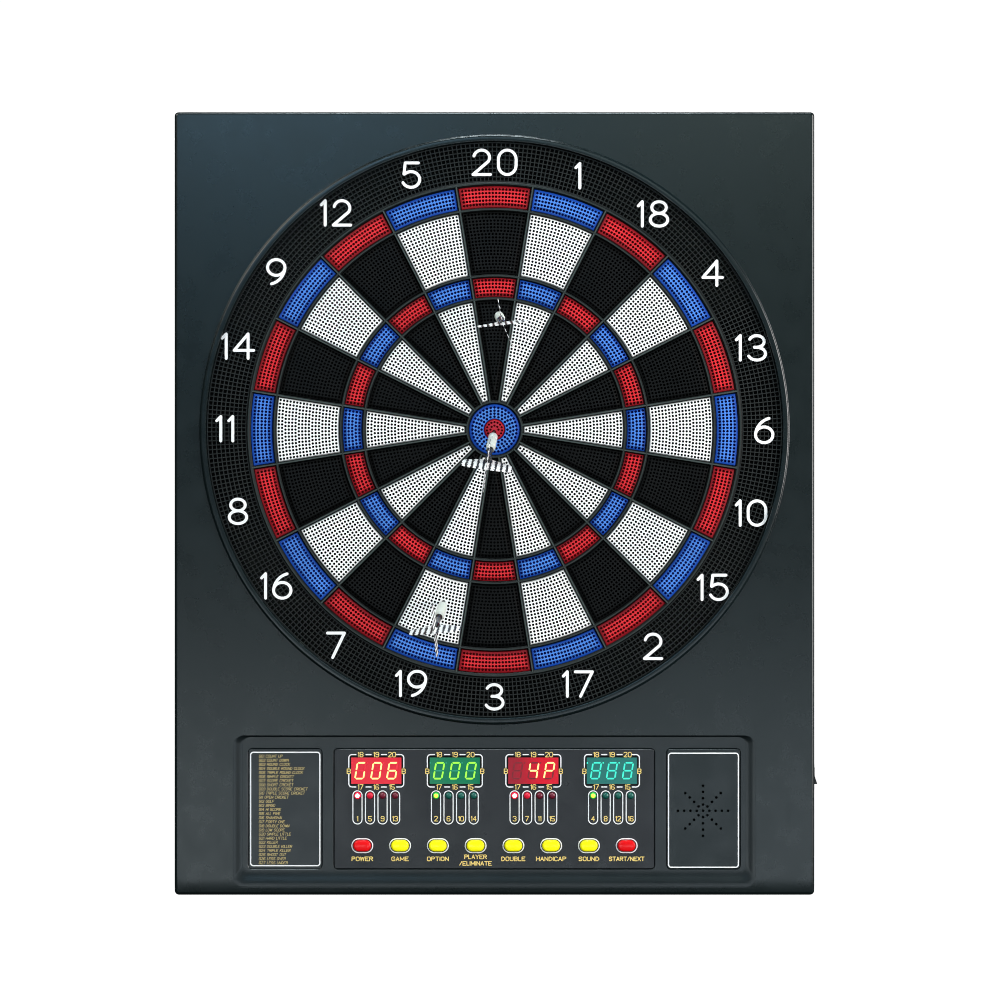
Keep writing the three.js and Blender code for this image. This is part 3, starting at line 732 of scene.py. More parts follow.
def catch_ring():
    """The black ring: a lattice of fine ribs over a sunk floor, painted near-black as painted shade."""
    shape = Shape()
    columns, hoops, outermost, pitch = 400, 10, 228.85, 3.4
    for i in range(columns):
        angle = TURN * (i + 0.5) / columns
        c, s = math.cos(angle), math.sin(angle)
        section = [(-0.4, CATCH_FLOOR), (-0.34, CATCH_TOP), (0.34, CATCH_TOP), (0.4, CATCH_FLOOR)]
        ends = [[(r * s + x * c, d, r * c - x * s) for x, d in section]
                for r in (CATCH_INNER, CATCH_OUTER)]
        points, faces = loft(ends, closed=False)
        shape.add(points, faces)
    for k in range(hoops):
        radius = outermost - pitch * k
        shape.turn([(radius - 0.38, CATCH_FLOOR), (radius - 0.32, CATCH_TOP - 0.4),
                    (radius + 0.32, CATCH_TOP - 0.4), (radius + 0.38, CATCH_FLOOR)], 200)
    # The sunk floor is near-black: painted shade under the lattice.
    shape.turn([(CATCH_INNER + 0.1, CATCH_FLOOR), (CATCH_OUTER - 0.1, CATCH_FLOOR)], 200, look=1)
    for radius in (CATCH_INNER, CATCH_OUTER):
        shape.turn([(radius, 16.0), (radius, CATCH_TOP)], ROUND)
    piece("catch_ring_lattice", shape, [RING, RING_FLOOR_SHADE], "ring_plastic", stands_for="catch_ring")


TALL = 19.5  # height of a numeral's centre line
NUMERALS = {
    "0": (14.1, [arc(7.05, TALL - 7.4, 7.05, 7.4, 0, 180) + arc(7.05, 7.4, 7.05, 7.4, 180, 360)
                 + [(14.1, TALL - 7.4)]]),
    "1": (3.2, [[(0, TALL - 3.4), (3.2, TALL), (3.2, 0)]]),
    "2": (14.0, [arc(7.0, TALL - 5.9, 6.3, 5.9, 168, -32) + [(0.1, 0), (14.0, 0)]]),
    "3": (13.9, [arc(6.7, TALL - 4.65, 6.0, 4.65, 158, -90) + [(4.9, 10.2)],
                 arc(6.8, 5.1, 7.0, 5.1, 90, -158)]),
    "4": (15.6, [[(11.1, 0), (11.1, TALL), (0, 6.4), (15.6, 6.4)]]),
    "5": (13.8, [[(12.7, TALL), (2.2, TALL), (1.2, 10.6)] + arc(6.8, 6.3, 7.0, 6.3, 136, -156)]),
    "6": (13.9, [arc(6.95, 6.3, 6.95, 6.3, 0, 360, 22),
                 [(0.0, 6.3)] + arc(14.2, 5.6, 14.2, 14.2, 176, 104, 8)]),
    "7": (13.6, [[(0, TALL), (13.6, TALL), (4.2, 0)]]),
    "8": (13.9, [arc(6.95, TALL - 4.65, 5.8, 4.65, -90, 270, 20), arc(6.95, 5.1, 6.95, 5.1, -90, 270, 22)]),
    "9": (13.9, [arc(6.95, TALL - 6.3, 6.95, 6.3, 0, 360, 22),
                 [(13.9, TALL - 6.3)] + arc(-0.3, TALL - 5.6, 14.2, 14.2, -4, -76, 8)]),
}


def numbers():
    """White numerals on black bosses; they stand on a ring that is a little wide and leaning."""
    white, boss = Shape(), Shape()
    gap = 6.35
    for i, number in enumerate(SECTORS):
        digits = [NUMERALS[d] for d in str(number)]
        total = sum(wide for wide, _ in digits) + gap * (len(digits) - 1)
        x, z = polar(NUMBER_RADIUS, i * 2 * HALF_SECTOR)
        x, z = 1.0062 * x - total / 2, 0.997 * z - 0.0033 * x
        lines = []
        for wide, drawn in digits:
            lines += shifted(drawn, x, z - TALL / 2)
            x += wide + gap
        raised(white, lines, 2.35, 28.3, 29.0, sides=12)
        raised(boss, lines, 3.6, CATCH_FLOOR, 28.35, sides=12)
    piece("numerals", white, [PRINT_WHITE], "ring_plastic")
    piece("numeral_bosses", boss, [BOSS], "ring_plastic")


# ---- small print
# Letters on a grid six tall: each pair of figures is a point, and | lifts the pen.
LETTERS = {
    "A": "00 26 40|12 32", "B": "00 06 36 45 44 33 03|33 42 41 30 00", "C": "45 36 16 05 01 10 30 41",
    "D": "00 06 26 44 42 20 00", "E": "40 00 06 46|03 33", "G": "45 36 16 05 01 10 30 41 43 23",
    "H": "00 06|40 46|03 43", "F": "00 06 46|03 33", "I": "00 06", "K": "00 06|46 02|13 40", "L": "06 00 30",
    "M": "00 06 22 32 56 50",
    "N": "00 06 40 46", "O": "10 01 05 16 36 45 41 30 10", "P": "00 06 36 45 44 33 03",
    "R": "00 06 36 45 44 33 03|23 40", "S": "45 36 16 05 04 13 33 42 41 30 10 01",
    "T": "20 26|06 46", "U": "06 01 10 30 41 46", "V": "06 20 46",
    "W": "06 10 25 35 40 56", "X": "00 46|06 40",
    "Y": "06 23 46|23 20", "/": "00 36", "0": "10 01 05 16 36 45 41 30 10", "1": "05 16 10",
    "2": "05 16 36 45 44 00 40", "3": "05 16 36 45 44 33 23|33 42 41 30 10 01",
    "4": "30 36 02 42", "5": "46 06 03 33 42 41 30 10 01", "6": "45 36 16 05 01 10 30 41 42 33 03",
    "7": "06 46 10", "8": "13 04 05 16 36 45 44 33 13 02 01 10 30 41 42 33",
    "9": "01 10 30 41 45 36 16 05 04 13 43",
}


def lettering(shape, text, x, z, tall, width, depth, look=0, lean=0.0, squeeze=1.0, flush=False):
    """Text drawn with a pen of some width, centred on a point or starting at it."""
    unit = tall / 6
    lines, at = [], 0.0
    for letter in text:
        drawn = [[(int(p[0]), int(p[1])) for p in part.split()]
                 for part in LETTERS.get(letter, "20").split("|")]
        if letter in LETTERS:
            lines += [[(at + px * squeeze, pz) for px, pz in line] for line in drawn]
        at += (max(px for line in drawn for px, _ in line) + 1.5) * squeeze
    left = x if flush else x - (at - 1.5 * squeeze) * unit / 2
    ink(shape, shifted(lines, left, z - tall / 2, unit, lean), width, depth, look)


def frame_line(shape, outline, width, depth, look=0):
    """A closed line of even width: `outline` gives its points at an inset."""
    shape.stack(outline, ((-width / 2, depth), (width / 2, depth)), look)


# ---- control area
SEGMENTS = {"a": (0, 2, 1, 2), "b": (1, 1, 1, 2), "c": (1, 0, 1, 1), "d": (0, 0, 1, 0),
            "e": (0, 0, 0, 1), "f": (0, 1, 0, 2), "g": (0, 1, 1, 1)}
CODES = {"0": "abcdef", "4": "bcfg", "6": "acdefg", "8": "abcdefg", "G": "acdef", "P": "abefg"}


def readout_segment(key, x, z):
    """One bar of a slanted seven-bar digit whose lower left corner is at a point."""
    a, b, c, d = SEGMENTS[key]
    wide, tall, thick, lean, gap = 6.6, 6.3, 0.62, 0.16, 0.35
    x1, z1, x2, z2 = a * wide, b * tall, c * wide, d * tall
    length = math.hypot(x2 - x1, z2 - z1)
    ux, uz = (x2 - x1) / length, (z2 - z1) / length
    flat = []
    for along, side in ((gap, 0), (gap + thick, thick), (length - gap - thick, thick),
                        (length - gap, 0), (length - gap - thick, -thick), (gap + thick, -thick)):
        px, pz = x1 + ux * along - uz * side, z1 + uz * along + ux * side
        flat.append((x + px + lean * pz, z + pz))
    return flat


def display(index, text, body_look, lit, ghost):
    """A window with three digits: bars that are on, and faint ones that are off."""
    x, z = DISPLAY_X[index], DISPLAY_Z
    shape = Shape()
    rim = [(0, 20.4), (0, 27.5), (0.3, 27.8), (0.7, 27.8), (0.8, 27.7)]
    window, digit_pitch = (x, z, 41.6, 22.6, 0.8), 12.7
    shape.stack(lambda inset: around(*window, inset), rim, 3, back=True)
    glass = around(*window, 0.8)
    shape.add(at_depth(glass, 27.7), [tuple(range(len(glass)))])
    for k, figure in enumerate(text):
        left = x - 3.3 - 1.0 + (k - 1) * digit_pitch
        for key in SEGMENTS:
            on = key in CODES.get(figure, "")
            if on or ghost:
                flat = readout_segment(key, left, z - 6.3)
                shape.wall(flat, 27.6, 27.8 if on else 27.75, 1 if on else 2, front=True)
        shape.wall(circle(0.65, 12, (left - 2.6, z + 6.2)), 27.6, 27.75, 2, front=True)
    piece(f"readout_{index + 1}", shape, [body_look, lit, ghost or body_look, BEZEL], "display_window",
          stands_for=f"display_{index + 1}")


def displays():
    glass = {"coat": 0.3, "specular": 0.1}

    def bars(name, color, glow, power):
        return look(f"bars_{name}", color, 0.4, glow=glow, power=power, plain=True)

    red = look("readout_red", (160, 4, 26), 0.3, glow=(255, 14, 52), power=0.42, vary=0.08, **glass)
    part = Look("readout_red_part", (126, 30, 42), 0.3, glow=(205, 54, 70), power=0.32, **glass)
    part.graded(DISPLAY_X[2] - 14, DISPLAY_X[2] + 6,
                [(120, 26, 38), (190, 44, 62)], [(170, 10, 30), (255, 24, 54)])
    green = look("readout_green", (14, 98, 68), 0.3, glow=(24, 142, 96), power=0.3, vary=0.08, **glass)
    teal = look("readout_teal", (10, 92, 86), 0.3, glow=(30, 124, 114), power=0.28, vary=0.08, **glass)
    hot = bars("hot", (255, 232, 150), (255, 232, 130), 0.8)
    lime = bars("lime", (150, 255, 60), (150, 255, 60), 0.7)
    cyan = bars("cyan", (60, 220, 190), (50, 220, 190), 0.45)
    red_ghost = bars("red_ghost", (110, 14, 26), (150, 24, 40), 0.15)
    red_faint = bars("red_faint", (200, 22, 44), (255, 30, 60), 0.3)
    green_ghost = bars("green_ghost", (20, 130, 96), (24, 160, 120), 0.3)
    display(0, "G06", red, hot, red_faint)
    display(1, "000", green, lime, green_ghost)
    display(2, " 4P", part.material, hot, red_ghost)
    display(3, "888", teal, cyan, cyan)


def lamp_x(x, k):
    """Where lamp k of the four under a display stands, in x."""
    return x + (k - 1.5) * 10


def lamps():
    shape = Shape()
    states = [[0, 1, 2, 2], [3, 4, 4, 4]] * 2  # which of the looks below each lamp's crown has
    side = [(2.5, 21.6), (2.5, 28.3), (2.42, 28.7), (2.15, 29.15), (1.7, 29.5)]
    crown = [(1.7, 29.5), (1.1, 29.77), (0.5, 29.89)]
    shape.wall(around(0, LAMP_Z, 2 * 114, 6, 0.5), 20.2, 21.6, 5, back=True, front=True)
    for x, state in zip(DISPLAY_X, states):
        for k in range(4):
            centre = (lamp_x(x, k), LAMP_Z)
            rim = {0: 6, 3: 7}.get(state[k], state[k])
            shape.turn(side, 24, centre, rim)
            shape.turn(crown, 24, centre, state[k], front=True)
    looks = [
        look("lamp_red_lit", (255, 226, 222), 0.25, glow=(255, 214, 208), power=2.2, vary=0.03),
        look("lamp_red_part", (176, 12, 44), 0.3, glow=(232, 14, 52), power=0.35, coat=0.15),
        look("lamp_red_off", (92, 14, 36), 0.3, glow=(130, 16, 46), power=0.2, coat=0.15),
        look("lamp_green_lit", (206, 244, 70), 0.25, glow=(206, 250, 60), power=1.2, vary=0.03),
        look("lamp_green_off", (14, 82, 72), 0.3, glow=(12, 96, 84), power=0.2, coat=0.15),
        look("lamp_strip", (30, 34, 34), 0.5),
        look("lamp_red_rim", (255, 20, 56), 0.3, glow=(255, 14, 56), power=1.1, vary=0.03),
        look("lamp_green_rim", (40, 180, 70), 0.3, glow=(40, 190, 70), power=0.6, vary=0.03),
    ]
    piece("lamps", shape, looks, "lamp_lens", stands_for="indicator_lamps", smooth=50)


def panel(name, sides, holes, plastic, color, node):
    """A thin plate with a small bevel and open holes."""
    shape = plate(box(*sides, 2, 0.25), holes, PANEL_BACK, PANEL_FACE)
    shape.stack(lambda inset: box(*sides, 2, inset), ((0, PANEL_BACK), (0, 28.05), (0.25, PANEL_FACE)))
    material = look(plastic, color, 0.32, vary=0.12, grain=1700, bump=0.15)
    piece(name, shape, [material], "fascia_plastic", stands_for=node)


LABELS = [["POWER"], ["GAME"], ["OPTION"], ["PLAYER", "/ELIMINATE"], ["DOUBLE"], ["HANDICAP"],
          ["SOUND"], ["START/NEXT"]]


def fascia():
    holes = [around(x, DISPLAY_Z, 42.4, 23.4, 0.8) for x in DISPLAY_X]
    for x in DISPLAY_X:
        holes += [circle(2.85, 24, (lamp_x(x, k), LAMP_Z)) for k in range(4)]
    holes += [around(x, BUTTON_Z, 14.5, 9.5, 4.74, steps=8) for x in BUTTON_X]
    panel("fascia", FASCIA, holes, "fascia_plastic", (20, 22, 26), "control_fascia")

    marks, ink_depth = Shape(), PANEL_FACE + PRINT_RISE
    figure = (3.7, 0.58, ink_depth, 1)  # height, pen, depth and look of the small figures
    half_wide, half_tall, r = 21.9, 12.9, 2.6
    for index, x in enumerate(DISPLAY_X):
        corners = []
        for quarter, (sx, sz) in enumerate(((1, 1), (-1, 1), (-1, -1), (1, -1))):
            side, end = x + sx * half_wide, DISPLAY_Z + sz * half_tall
            bend = arc(x + sx * (half_wide - r), DISPLAY_Z + sz * (half_tall - r), r, r,
                       90 * quarter, 90 * quarter + 90, 5)
            level, upright = (x + sx * 16.2, end), (side, DISPLAY_Z + sz * 2.8)
            corners.append([upright, *bend, level] if sx * sz > 0 else [level, *bend, upright])
        dashes = [[(x + s * 4.1, DISPLAY_Z + t * half_tall), (x + s * 8.2, DISPLAY_Z + t * half_tall)]
                  for s in (-1, 1) for t in (-1, 1)]
        ink(marks, corners + dashes, 0.9, ink_depth)
        for t, texts in ((1, ("18", "19", "20")), (-1, ("17", "16", "15"))):
            for k, text in enumerate(texts):
                lettering(marks, text, x + (k - 1) * 12.5, DISPLAY_Z + t * half_tall, *figure)
        for s in (-1, 1):
            lettering(marks, "B", x + s * half_wide, DISPLAY_Z - 0.4, 3.7, 0.62, ink_depth, 1,
                      squeeze=1.08)
        for k in range(4):
            at = lamp_x(x, k)
            frame_line(marks, lambda inset: around(at, -301.1, 7.3, 26.4, 3.64, inset, 8), 0.75, ink_depth)
            lettering(marks, str(index + 1 + 4 * k), at, -310.1, *figure)
    for x, label in zip(BUTTON_X, LABELS):
        frame_line(marks, lambda inset: around(x, BUTTON_Z, 16.6, 11.0, 5.49, inset, 8), 0.85, ink_depth)
        for k, text in enumerate(label):
            z = -342.1 if len(label) == 1 else (-340.5, -345.7)[k]
            squeeze = 1.06 if "/N" in text else 1.22 if len(label) == 1 else 1.14
            lettering(marks, text, x, z, 3.0, 0.66, ink_depth, 1, squeeze=squeeze)
    piece("fascia_print", marks, [PRINT_WHITE, PRINT_GOLD], "fascia_plastic")


def buttons():
    lit = {"coat": 0.2, "specular": 0.2, "vary": 0.06}
    # The caps glow a little though they hold no lamp: painted light that makes the red and yellow look
    # brightly lit.
    red = look("button_red", (214, 10, 16), 0.3, glow=(255, 12, 18), power=0.18, **lit)
    yellow = look("button_yellow", (250, 244, 14), 0.3, glow=(255, 248, 6), power=0.2, **lit)
    profile = [(-0.9, 24.6), (-0.9, 26.3), (0.05, 26.4), (0.05, 29.6)]
    profile += [(0.05 + 1.3 * (1 - math.cos(a)), 29.6 + 1.1 * math.sin(a))
                for a in (0.3, 0.6, 0.9, 1.2, 1.5)]
    profile += [(2.2, 30.82), (3.2, 30.94)]
    for i, x in enumerate(BUTTON_X):
        shape = Shape().stack(lambda inset: around(x, BUTTON_Z, 13.8, 8.8, 4.39, inset, 8), profile,
                              back=True, front=True)
        ends = i in (0, 7)
        piece(f"push_cap_{i + 1}", shape, [red if ends else yellow],
              "button_red" if ends else "button_yellow", f"push_{i + 1}", f"button_{i + 1}", smooth=50)


GAMES = ("COUNT UP,COUNT DOWN,ROUND CLOCK,DOUBLE ROUND CLOCK,TRIPLE ROUND CLOCK,SIMPLE CRICKET,"
         "SCORE CRICKET,SHORT CRICKET,DOUBLE SCORE CRICKET,TRIPLE SCORE CRICKET,OPEN CRICKET,GOLF,"
         "BINGO,HI SCORE,ALL FIVE,SHANGHAI,FORTY ONE,DOUBLE DOWN,LOW SCORE,SIMPLE LITTLE,HARD LITTLE,"
         "KILLER,DOUBLE KILLER,TRIPLE KILLER,SHOOT OUT,LESS OVER,LESS UNDER")


def side_panels():
    """The games card at the left and the speaker panel at the right."""
    card = look("card_print", (24, 30, 33), 0.32, vary=0.1, grain=2200, bump=0.08)
    card_face, row_pitch = 27.9, 3.27
    piece("games_list_card", plate(box(*CARD, 2), [], 27.45, card_face), [card], "card_print",
          stands_for="games_card")
    marks, ink_depth = Shape(), 27.94
    frame_line(marks, lambda inset: box(-194.4, -139.2, -347.6, -257.2, 2.2, inset), 0.95, ink_depth)
    for row, game in enumerate(GAMES.split(",")):
        lettering(marks, f"G{row + 1:02d} {game}", -187.8, -260.3 - row_pitch * row, 2.0, 0.27,
                  ink_depth, 1, lean=0.2, squeeze=0.97, flush=True)
    piece("games_list_print", marks, [PRINT_WHITE, PRINT_PALE], "card_print")

    holes, arms, hole_pitch = [circle(1.1, 16, SPEAKER)], 8, 5.0
    for arm in range(arms):
        for k in range(1, 5):
            x, z = polar(hole_pitch * k, TURN * arm / arms)
            holes.append(circle(1.1, 16, (SPEAKER[0] + x, SPEAKER[1] + z)))
    panel("speaker_panel", GRILLE, holes, "grille_plastic", (11, 22, 24), "speaker_grille")
    marks = Shape()
    frame_line(marks, lambda inset: box(138.7, 194.4, -348.8, -257.9, 2.2, inset), 0.95,
               PANEL_FACE + PRINT_RISE)
    piece("speaker_panel_print", marks, [PRINT_WHITE], "fascia_plastic")


# ---- right side
def side_fittings():
    black = look("switch_plastic", (14, 14, 15), 0.35, vary=0.2, bump=0.1)
    steel = look("pin_steel", (190, 192, 194), 0.3, metal=1.0, vary=0.05)

    def level(points, x):
        return [(x, d, z) for d, z in points]

    def sleeve(rings):
        outlines = [level(around(SIDE_DEPTH, SWITCH_Z, wide, tall, r, steps=4), x)
                    for wide, tall, r, x in rings]
        shape.add(*loft(outlines, front=True))

    shape = Shape()
    sleeve([(14.5, 21.5, 1.2, 255.3), (14.5, 21.5, 1.2, 255.4), (13.9, 20.9, 1.0, 255.7),
            (9.4, 16.4, 0.6, 255.7), (8.6, 15.6, 0.4, 255.4), (8.6, 15.6, 0.4, 244.2)])
    sleeve([(14.5, 21.5, 1.2, 255.3), (11.8, 18.8, 0.6, 255.3), (11.8, 18.8, 0.6, 241.0)])
    piece("switch_frame", shape, [black], "switch_plastic", stands_for="rocker_frame", smooth=40)

    # paddle, in its own frame with the pivot at the origin
    profile = [(-4, -5.8), (-4, 5.8), (3.2, 6.75), (3.55, 6.5), (2.9, 2.5), (2.55, 0), (2.9, -2.5),
               (3.55, -6.5), (3.2, -6.75)]
    shape = Shape().add(*loft([[(x, d, z) for x, z in profile] for d in (-4, -3.7, 3.7, 4)],
                              back=True, front=True))
    for i, (x, d, z) in enumerate(shape.points):
        if abs(d) == 4:
            shape.points[i] = (x - 0.25 if x > 0 else x, d, z * 0.97)
    pivot = Matrix.Translation((253.8 * MM, -SIDE_DEPTH * MM, SWITCH_Z * MM))
    tilt = Matrix.Rotation(math.radians(-9), 4, "Y")
    mark = [[(3.32, d, z) for d, z in arc(0, 4.6, 1.15, 1.15, 0, 360, 20)],
            [(3.32, d, z) for d, z in arc(0, 4.6, 0.8, 0.8, 0, 360, 20)]]
    shape.add(*loft(mark, closed=False), 1)
    shape.add([(3.36, -0.2, -5.6), (3.36, 0.2, -5.6), (3.2, 0.2, -3.4), (3.2, -0.2, -3.4)],
              [(0, 1, 2, 3)], 1)
    piece("switch_paddle", shape, [black, PRINT_WHITE], "switch_plastic", "paddle", "rocker_paddle",
          matrix=pivot @ tilt)

    def tube(profile, number, **ends):
        rings = [level(circle(r, 32, (SIDE_DEPTH, INLET_Z)), 240.2 + h) for r, h in profile]
        shape.add(*loft(rings, **ends), number)

    shape = Shape()
    tube([(0.2, 0), (5.6, 0.1), (5.6, 11.9), (4.2, 11.9), (4.2, 14.8), (4.0, 15.0), (3.0, 15.0),
          (2.8, 14.8), (2.8, 3.0), (1.0, 3.0)], 0)
    tube([(1.0, 3.0), (1.0, 13.0), (0.7, 13.4), (0.1, 13.5)], 1, front=True)
    piece("power_inlet", shape, [black, steel], "switch_plastic", stands_for="dc_jack", smooth=40)


# ---- back
def keyhole(x, z, grow=0.0):
    """A screw head's hole with a narrow slot rising from it."""
    head, neck, rise = 5.5 + grow, 2.6 + grow, 12.0
    start = math.asin(neck / head)
    points = [(x + head * math.sin(a), z + head * math.cos(a))
              for a in steps_between(start, TURN - start, 28)]
    return points + [(x - neck * math.cos(a), z + rise + neck * math.sin(a))
                     for a in steps_between(0, math.pi, 12)]


def back_cover():
    outline = (-HALF_WIDTH, HALF_WIDTH, BOTTOM_Z, TOP_Z, CORNER)
    shape = Shape()
    screws = [(sx * 240, z) for sx in (-1, 1) for z in (238, 80, -80, -238, -358)]
    screws += [(sx * 85, z) for sx in (-1, 1) for z in (240, -360)]
    pockets = [circle(4.4, 28, centre) for centre in screws]
    slots = [around(SPEAKER[0], SPEAKER[1] - 22 + 5 * k, 44, 2.2, 1.09, steps=4) for k in range(9)]
    keys = [keyhole(x, 205) for x in (-150, 150)]
    panels = [(x, z, 110, 190, 8) for x in (-70, 70) for z in (100, -120)] + [(-60, -305, 250, 78, 6)]
    openings = pockets + slots + keys + [around(*sunk) for sunk in panels]
    flat, faces = fill(box(*outline, 0.5), openings)
    shape.add(at_depth(flat, 0), faces)
    shape.stack(lambda inset: box(*outline, inset), ((0.5, 0), (0, 0.5), (0, 2.5), (3.0, 2.5)))
    # Keyholes and slots are closed with a near-black sheet, and the screw crosses lined with it: painted
    # shade.
    for loop in keys:
        shape.wall(loop, 0, 2.5)
        shape.wall(loop, 2.5, 9.0, 1, front=True)
    for loop in slots:
        shape.wall(loop, 0, 2.4)
        shape.wall(loop, 2.4, 2.45, 1, front=True)
    for sunk in panels:
        shape.stack(lambda inset: around(*sunk, inset), ((0, 0), (0.25, 0.35), (1.0, 0.7)), front=True)
    steel = look("screw_steel", (120, 122, 124), 0.35, metal=1.0, vary=0.1)
    sides = 28
    for x, z in screws:
        shape.turn([(4.4, 0), (4.2, 1.6), (3.4, 1.6)], sides, (x, z))
        shape.turn([(3.4, 1.7), (3.4, 1.1), (2.9, 0.55), (1.9, 0.3)], sides, (x, z), 2)
        cross = []
        for i in range(sides):
            a = TURN * i / sides
            reach = 1.6 if min(abs(math.sin(a)), abs(math.cos(a))) < 0.3 else 0.75
            cross.append((x + reach * math.sin(a), z + reach * math.cos(a)))
        shape.add(*loft([at_depth(circle(1.9, sides, (x, z)), 0.3), at_depth(cross, 0.28)]), 2)
        shape.wall(cross, 0.28, 1.3, 1, front=True)
    weighted(piece("rear_cover", shape, [BACK, HOLLOW_SHADE, steel], "back_plastic", stands_for="back_cover",
                   smooth=40))


# ---- darts
# Where each dart's point is, how it tilts in degrees, and how far each of its vanes is bent.
DARTS = [
    {"body": "dart_1", "point": (3.0, 21.5, 92.5), "drop": 7.0, "swing": 1.5, "roll": 7.0,
     "bent": (0, 4, 0, 17)},
    {"body": "dart_2", "point": (0.0, 21.5, 0.0), "drop": 13.5, "swing": -2.5, "roll": -8.0,
     "bent": (0, 0, 0, 0)},
    {"body": "dart_3", "point": (-40.2, 21.5, -136.2), "drop": 8.0, "swing": -2.0, "roll": 5.0,
     "bent": (0, 0, 0, 0)},
]


def dart_matrix(dart):
    """From a dart's own frame, point at the origin and tail up +z, to where it sticks."""
    x, depth, z = dart["point"]
    place = Matrix.Translation((x * MM, -depth * MM, z * MM))
    swing = Matrix.Rotation(math.radians(dart["swing"]), 4, "Z")
    drop = Matrix.Rotation(math.radians(90 + dart["drop"]), 4, "X")
    roll = Matrix.Rotation(math.radians(dart["roll"]), 4, "Z")
    return place @ swing @ drop @ roll


def spun(profile, sides, **ends):
    """A profile of (radius, height) points turned round a dart's axis."""
    return loft([[(r * math.cos(TURN * i / sides), r * math.sin(TURN * i / sides), h)
                  for i in range(sides)] for r, h in profile], **ends)


def darts():
    nylon = look("dart_tip", (22, 22, 24), 0.4, vary=0.15)
    nickel = Look("dart_barrel", (222, 227, 218), 0.34, metal=0.35, vary=0.06)
    nickel.bump(nickel.node("ShaderNodeTexVoronoi", "Distance", Scale=1400, Vector=nickel.place), 0.35)
    shaft = look("dart_shaft", (16, 17, 19), 0.28, vary=0.2, coat=0.3)
    film = Look("dart_flight", (252, 252, 252), 0.42, vary=0.03)
    stripe(film)

    tip = [(0.15, 0.0), (0.45, 0.5), (0.75, 1.6), (0.98, 6.0), (1.06, 12.0), (1.1, 17.6),
           (1.5, 18.4), (2.0, 19.2), (2.0, 19.9), (2.4, 20.2), (2.55, 20.8), (2.55, 23.4), (2.3, 23.7)]
    barrel = [(2.2, 24.0), (2.7, 24.2), (3.1, 25.4)]
    for k in range(3):
        start = 27.0 + 13.6 * k
        barrel.append((3.2, start - 0.6))
        for step in range(9):
            at = start + 1.15 * step
            barrel += [(3.62, at), (3.62, at + 0.75), (3.34, at + 0.87), (3.34, at + 1.03)]
        barrel.append((3.15, start + 11.2))
    barrel += [(3.3, 68.6), (3.2, 70.8), (2.6, 73.2), (2.3, 73.7)]
    stem = [(2.2, 74.0), (2.65, 74.2), (2.7, 76.5), (2.2, 77.6), (2.0, 84.0), (2.0, 98.0),
            (2.2, 104.0), (2.55, 106.0), (2.65, 110.0), (2.3, 112.2), (1.6, 119.6), (1.0, 120.0)]
    edge = ([(0.0, 108.5), (3.0, 108.5), (8.5, 112.8), (14.5, 117.4), (17.6, 120.2), (19.0, 122.6),
             (19.4, 125.4), (19.4, 135.5), (18.7, 139.0), (16.6, 141.4), (13.0, 142.3), (6.0, 142.7),
             (0.0, 142.8)])
    for dart in DARTS:
        name = dart["body"]
        common = {"body": name, "matrix": dart_matrix(dart)}
        for part, profile, sides, material, slot, node, smooth in (
                ("point", tip, 24, nylon, "dart_tip", "tip", 40),
                ("grip", barrel, 28, nickel.material, "dart_barrel", "barrel", 35),
                ("stem", stem, 24, shaft, "dart_tip", "flight", 40)):
            piece(f"{name}_{part}", Shape().add(*spun(profile, sides, back=True, front=True)), [material],
                  slot, stands_for=f"{name}_{node}", smooth=smooth, **common)
        vanes = Shape()
        for k, bent in enumerate(dart["bent"]):
            angle = TURN * k / 4 + math.radians(bent)
            c, s = math.cos(angle), math.sin(angle)
            sheets = [[(u * c - t * s, -(u * s + t * c), h) for u, h in edge] for t in (-0.2, 0.2)]
            vanes.add(*loft(sheets, back=True, front=True))
        piece(f"{name}_vanes", vanes, [film.material], "dart_flight",
              stands_for=f"{name}_flight", **common)


def stripe(film):
    """Black wavering stripes that run from the shaft to the tail, spaced along each vane."""
    def maths(operation, *values):
        result = film.node("ShaderNodeMath", "Value")
        result.node.operation = operation
        for socket, value in zip(result.node.inputs, values):
            if isinstance(value, float):
                socket.default_value = value
            else:
                film.tree.links.new(value, socket)
        return result

    split = film.node("ShaderNodeSeparateXYZ", "X", Vector=film.place).node.outputs
    span = maths("MAXIMUM", maths("ABSOLUTE", split["X"]), maths("ABSOLUTE", split["Y"]))
    drift = maths("MULTIPLY", maths("SUBTRACT", film.noise(420, 3), 0.5), 0.0034)
    phase = maths("FRACT", maths("DIVIDE", maths("ADD", span, drift), 0.0043))
    white, black = linear(252, 252, 252), linear(10, 10, 12)
    color = film.ramp(phase, [(0.0, white), (0.35, black), (0.78, white)], sharp=True)
    film.join(color, "Base Color")


# ---- pieces that stay as they are
def inner_parts():
    """The hidden CAD pieces keep their meshes and get a material each."""
    dull = {
        "rubber_mat": look("mat_rubber", (24, 24, 25), 0.85, vary=0.2, grain=600, bump=0.5),
        "membrane_sheet": look("membrane_film", (196, 200, 194), 0.35, vary=0.06, grain=200),
        "backing_board": look("board_fibre", (122, 94, 62), 0.85, vary=0.25, grain=260, bump=0.7),
        "main_pcb": look("circuit_board", (22, 84, 46), 0.4, vary=0.25, grain=300, bump=0.25),
        "speaker": look("speaker_cone", (16, 16, 17), 0.75, vary=0.25, grain=500, bump=0.5),
    }
    for name, material in dull.items():
        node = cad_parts[name]
        node.data.materials.clear()
        node.data.materials.append(material)


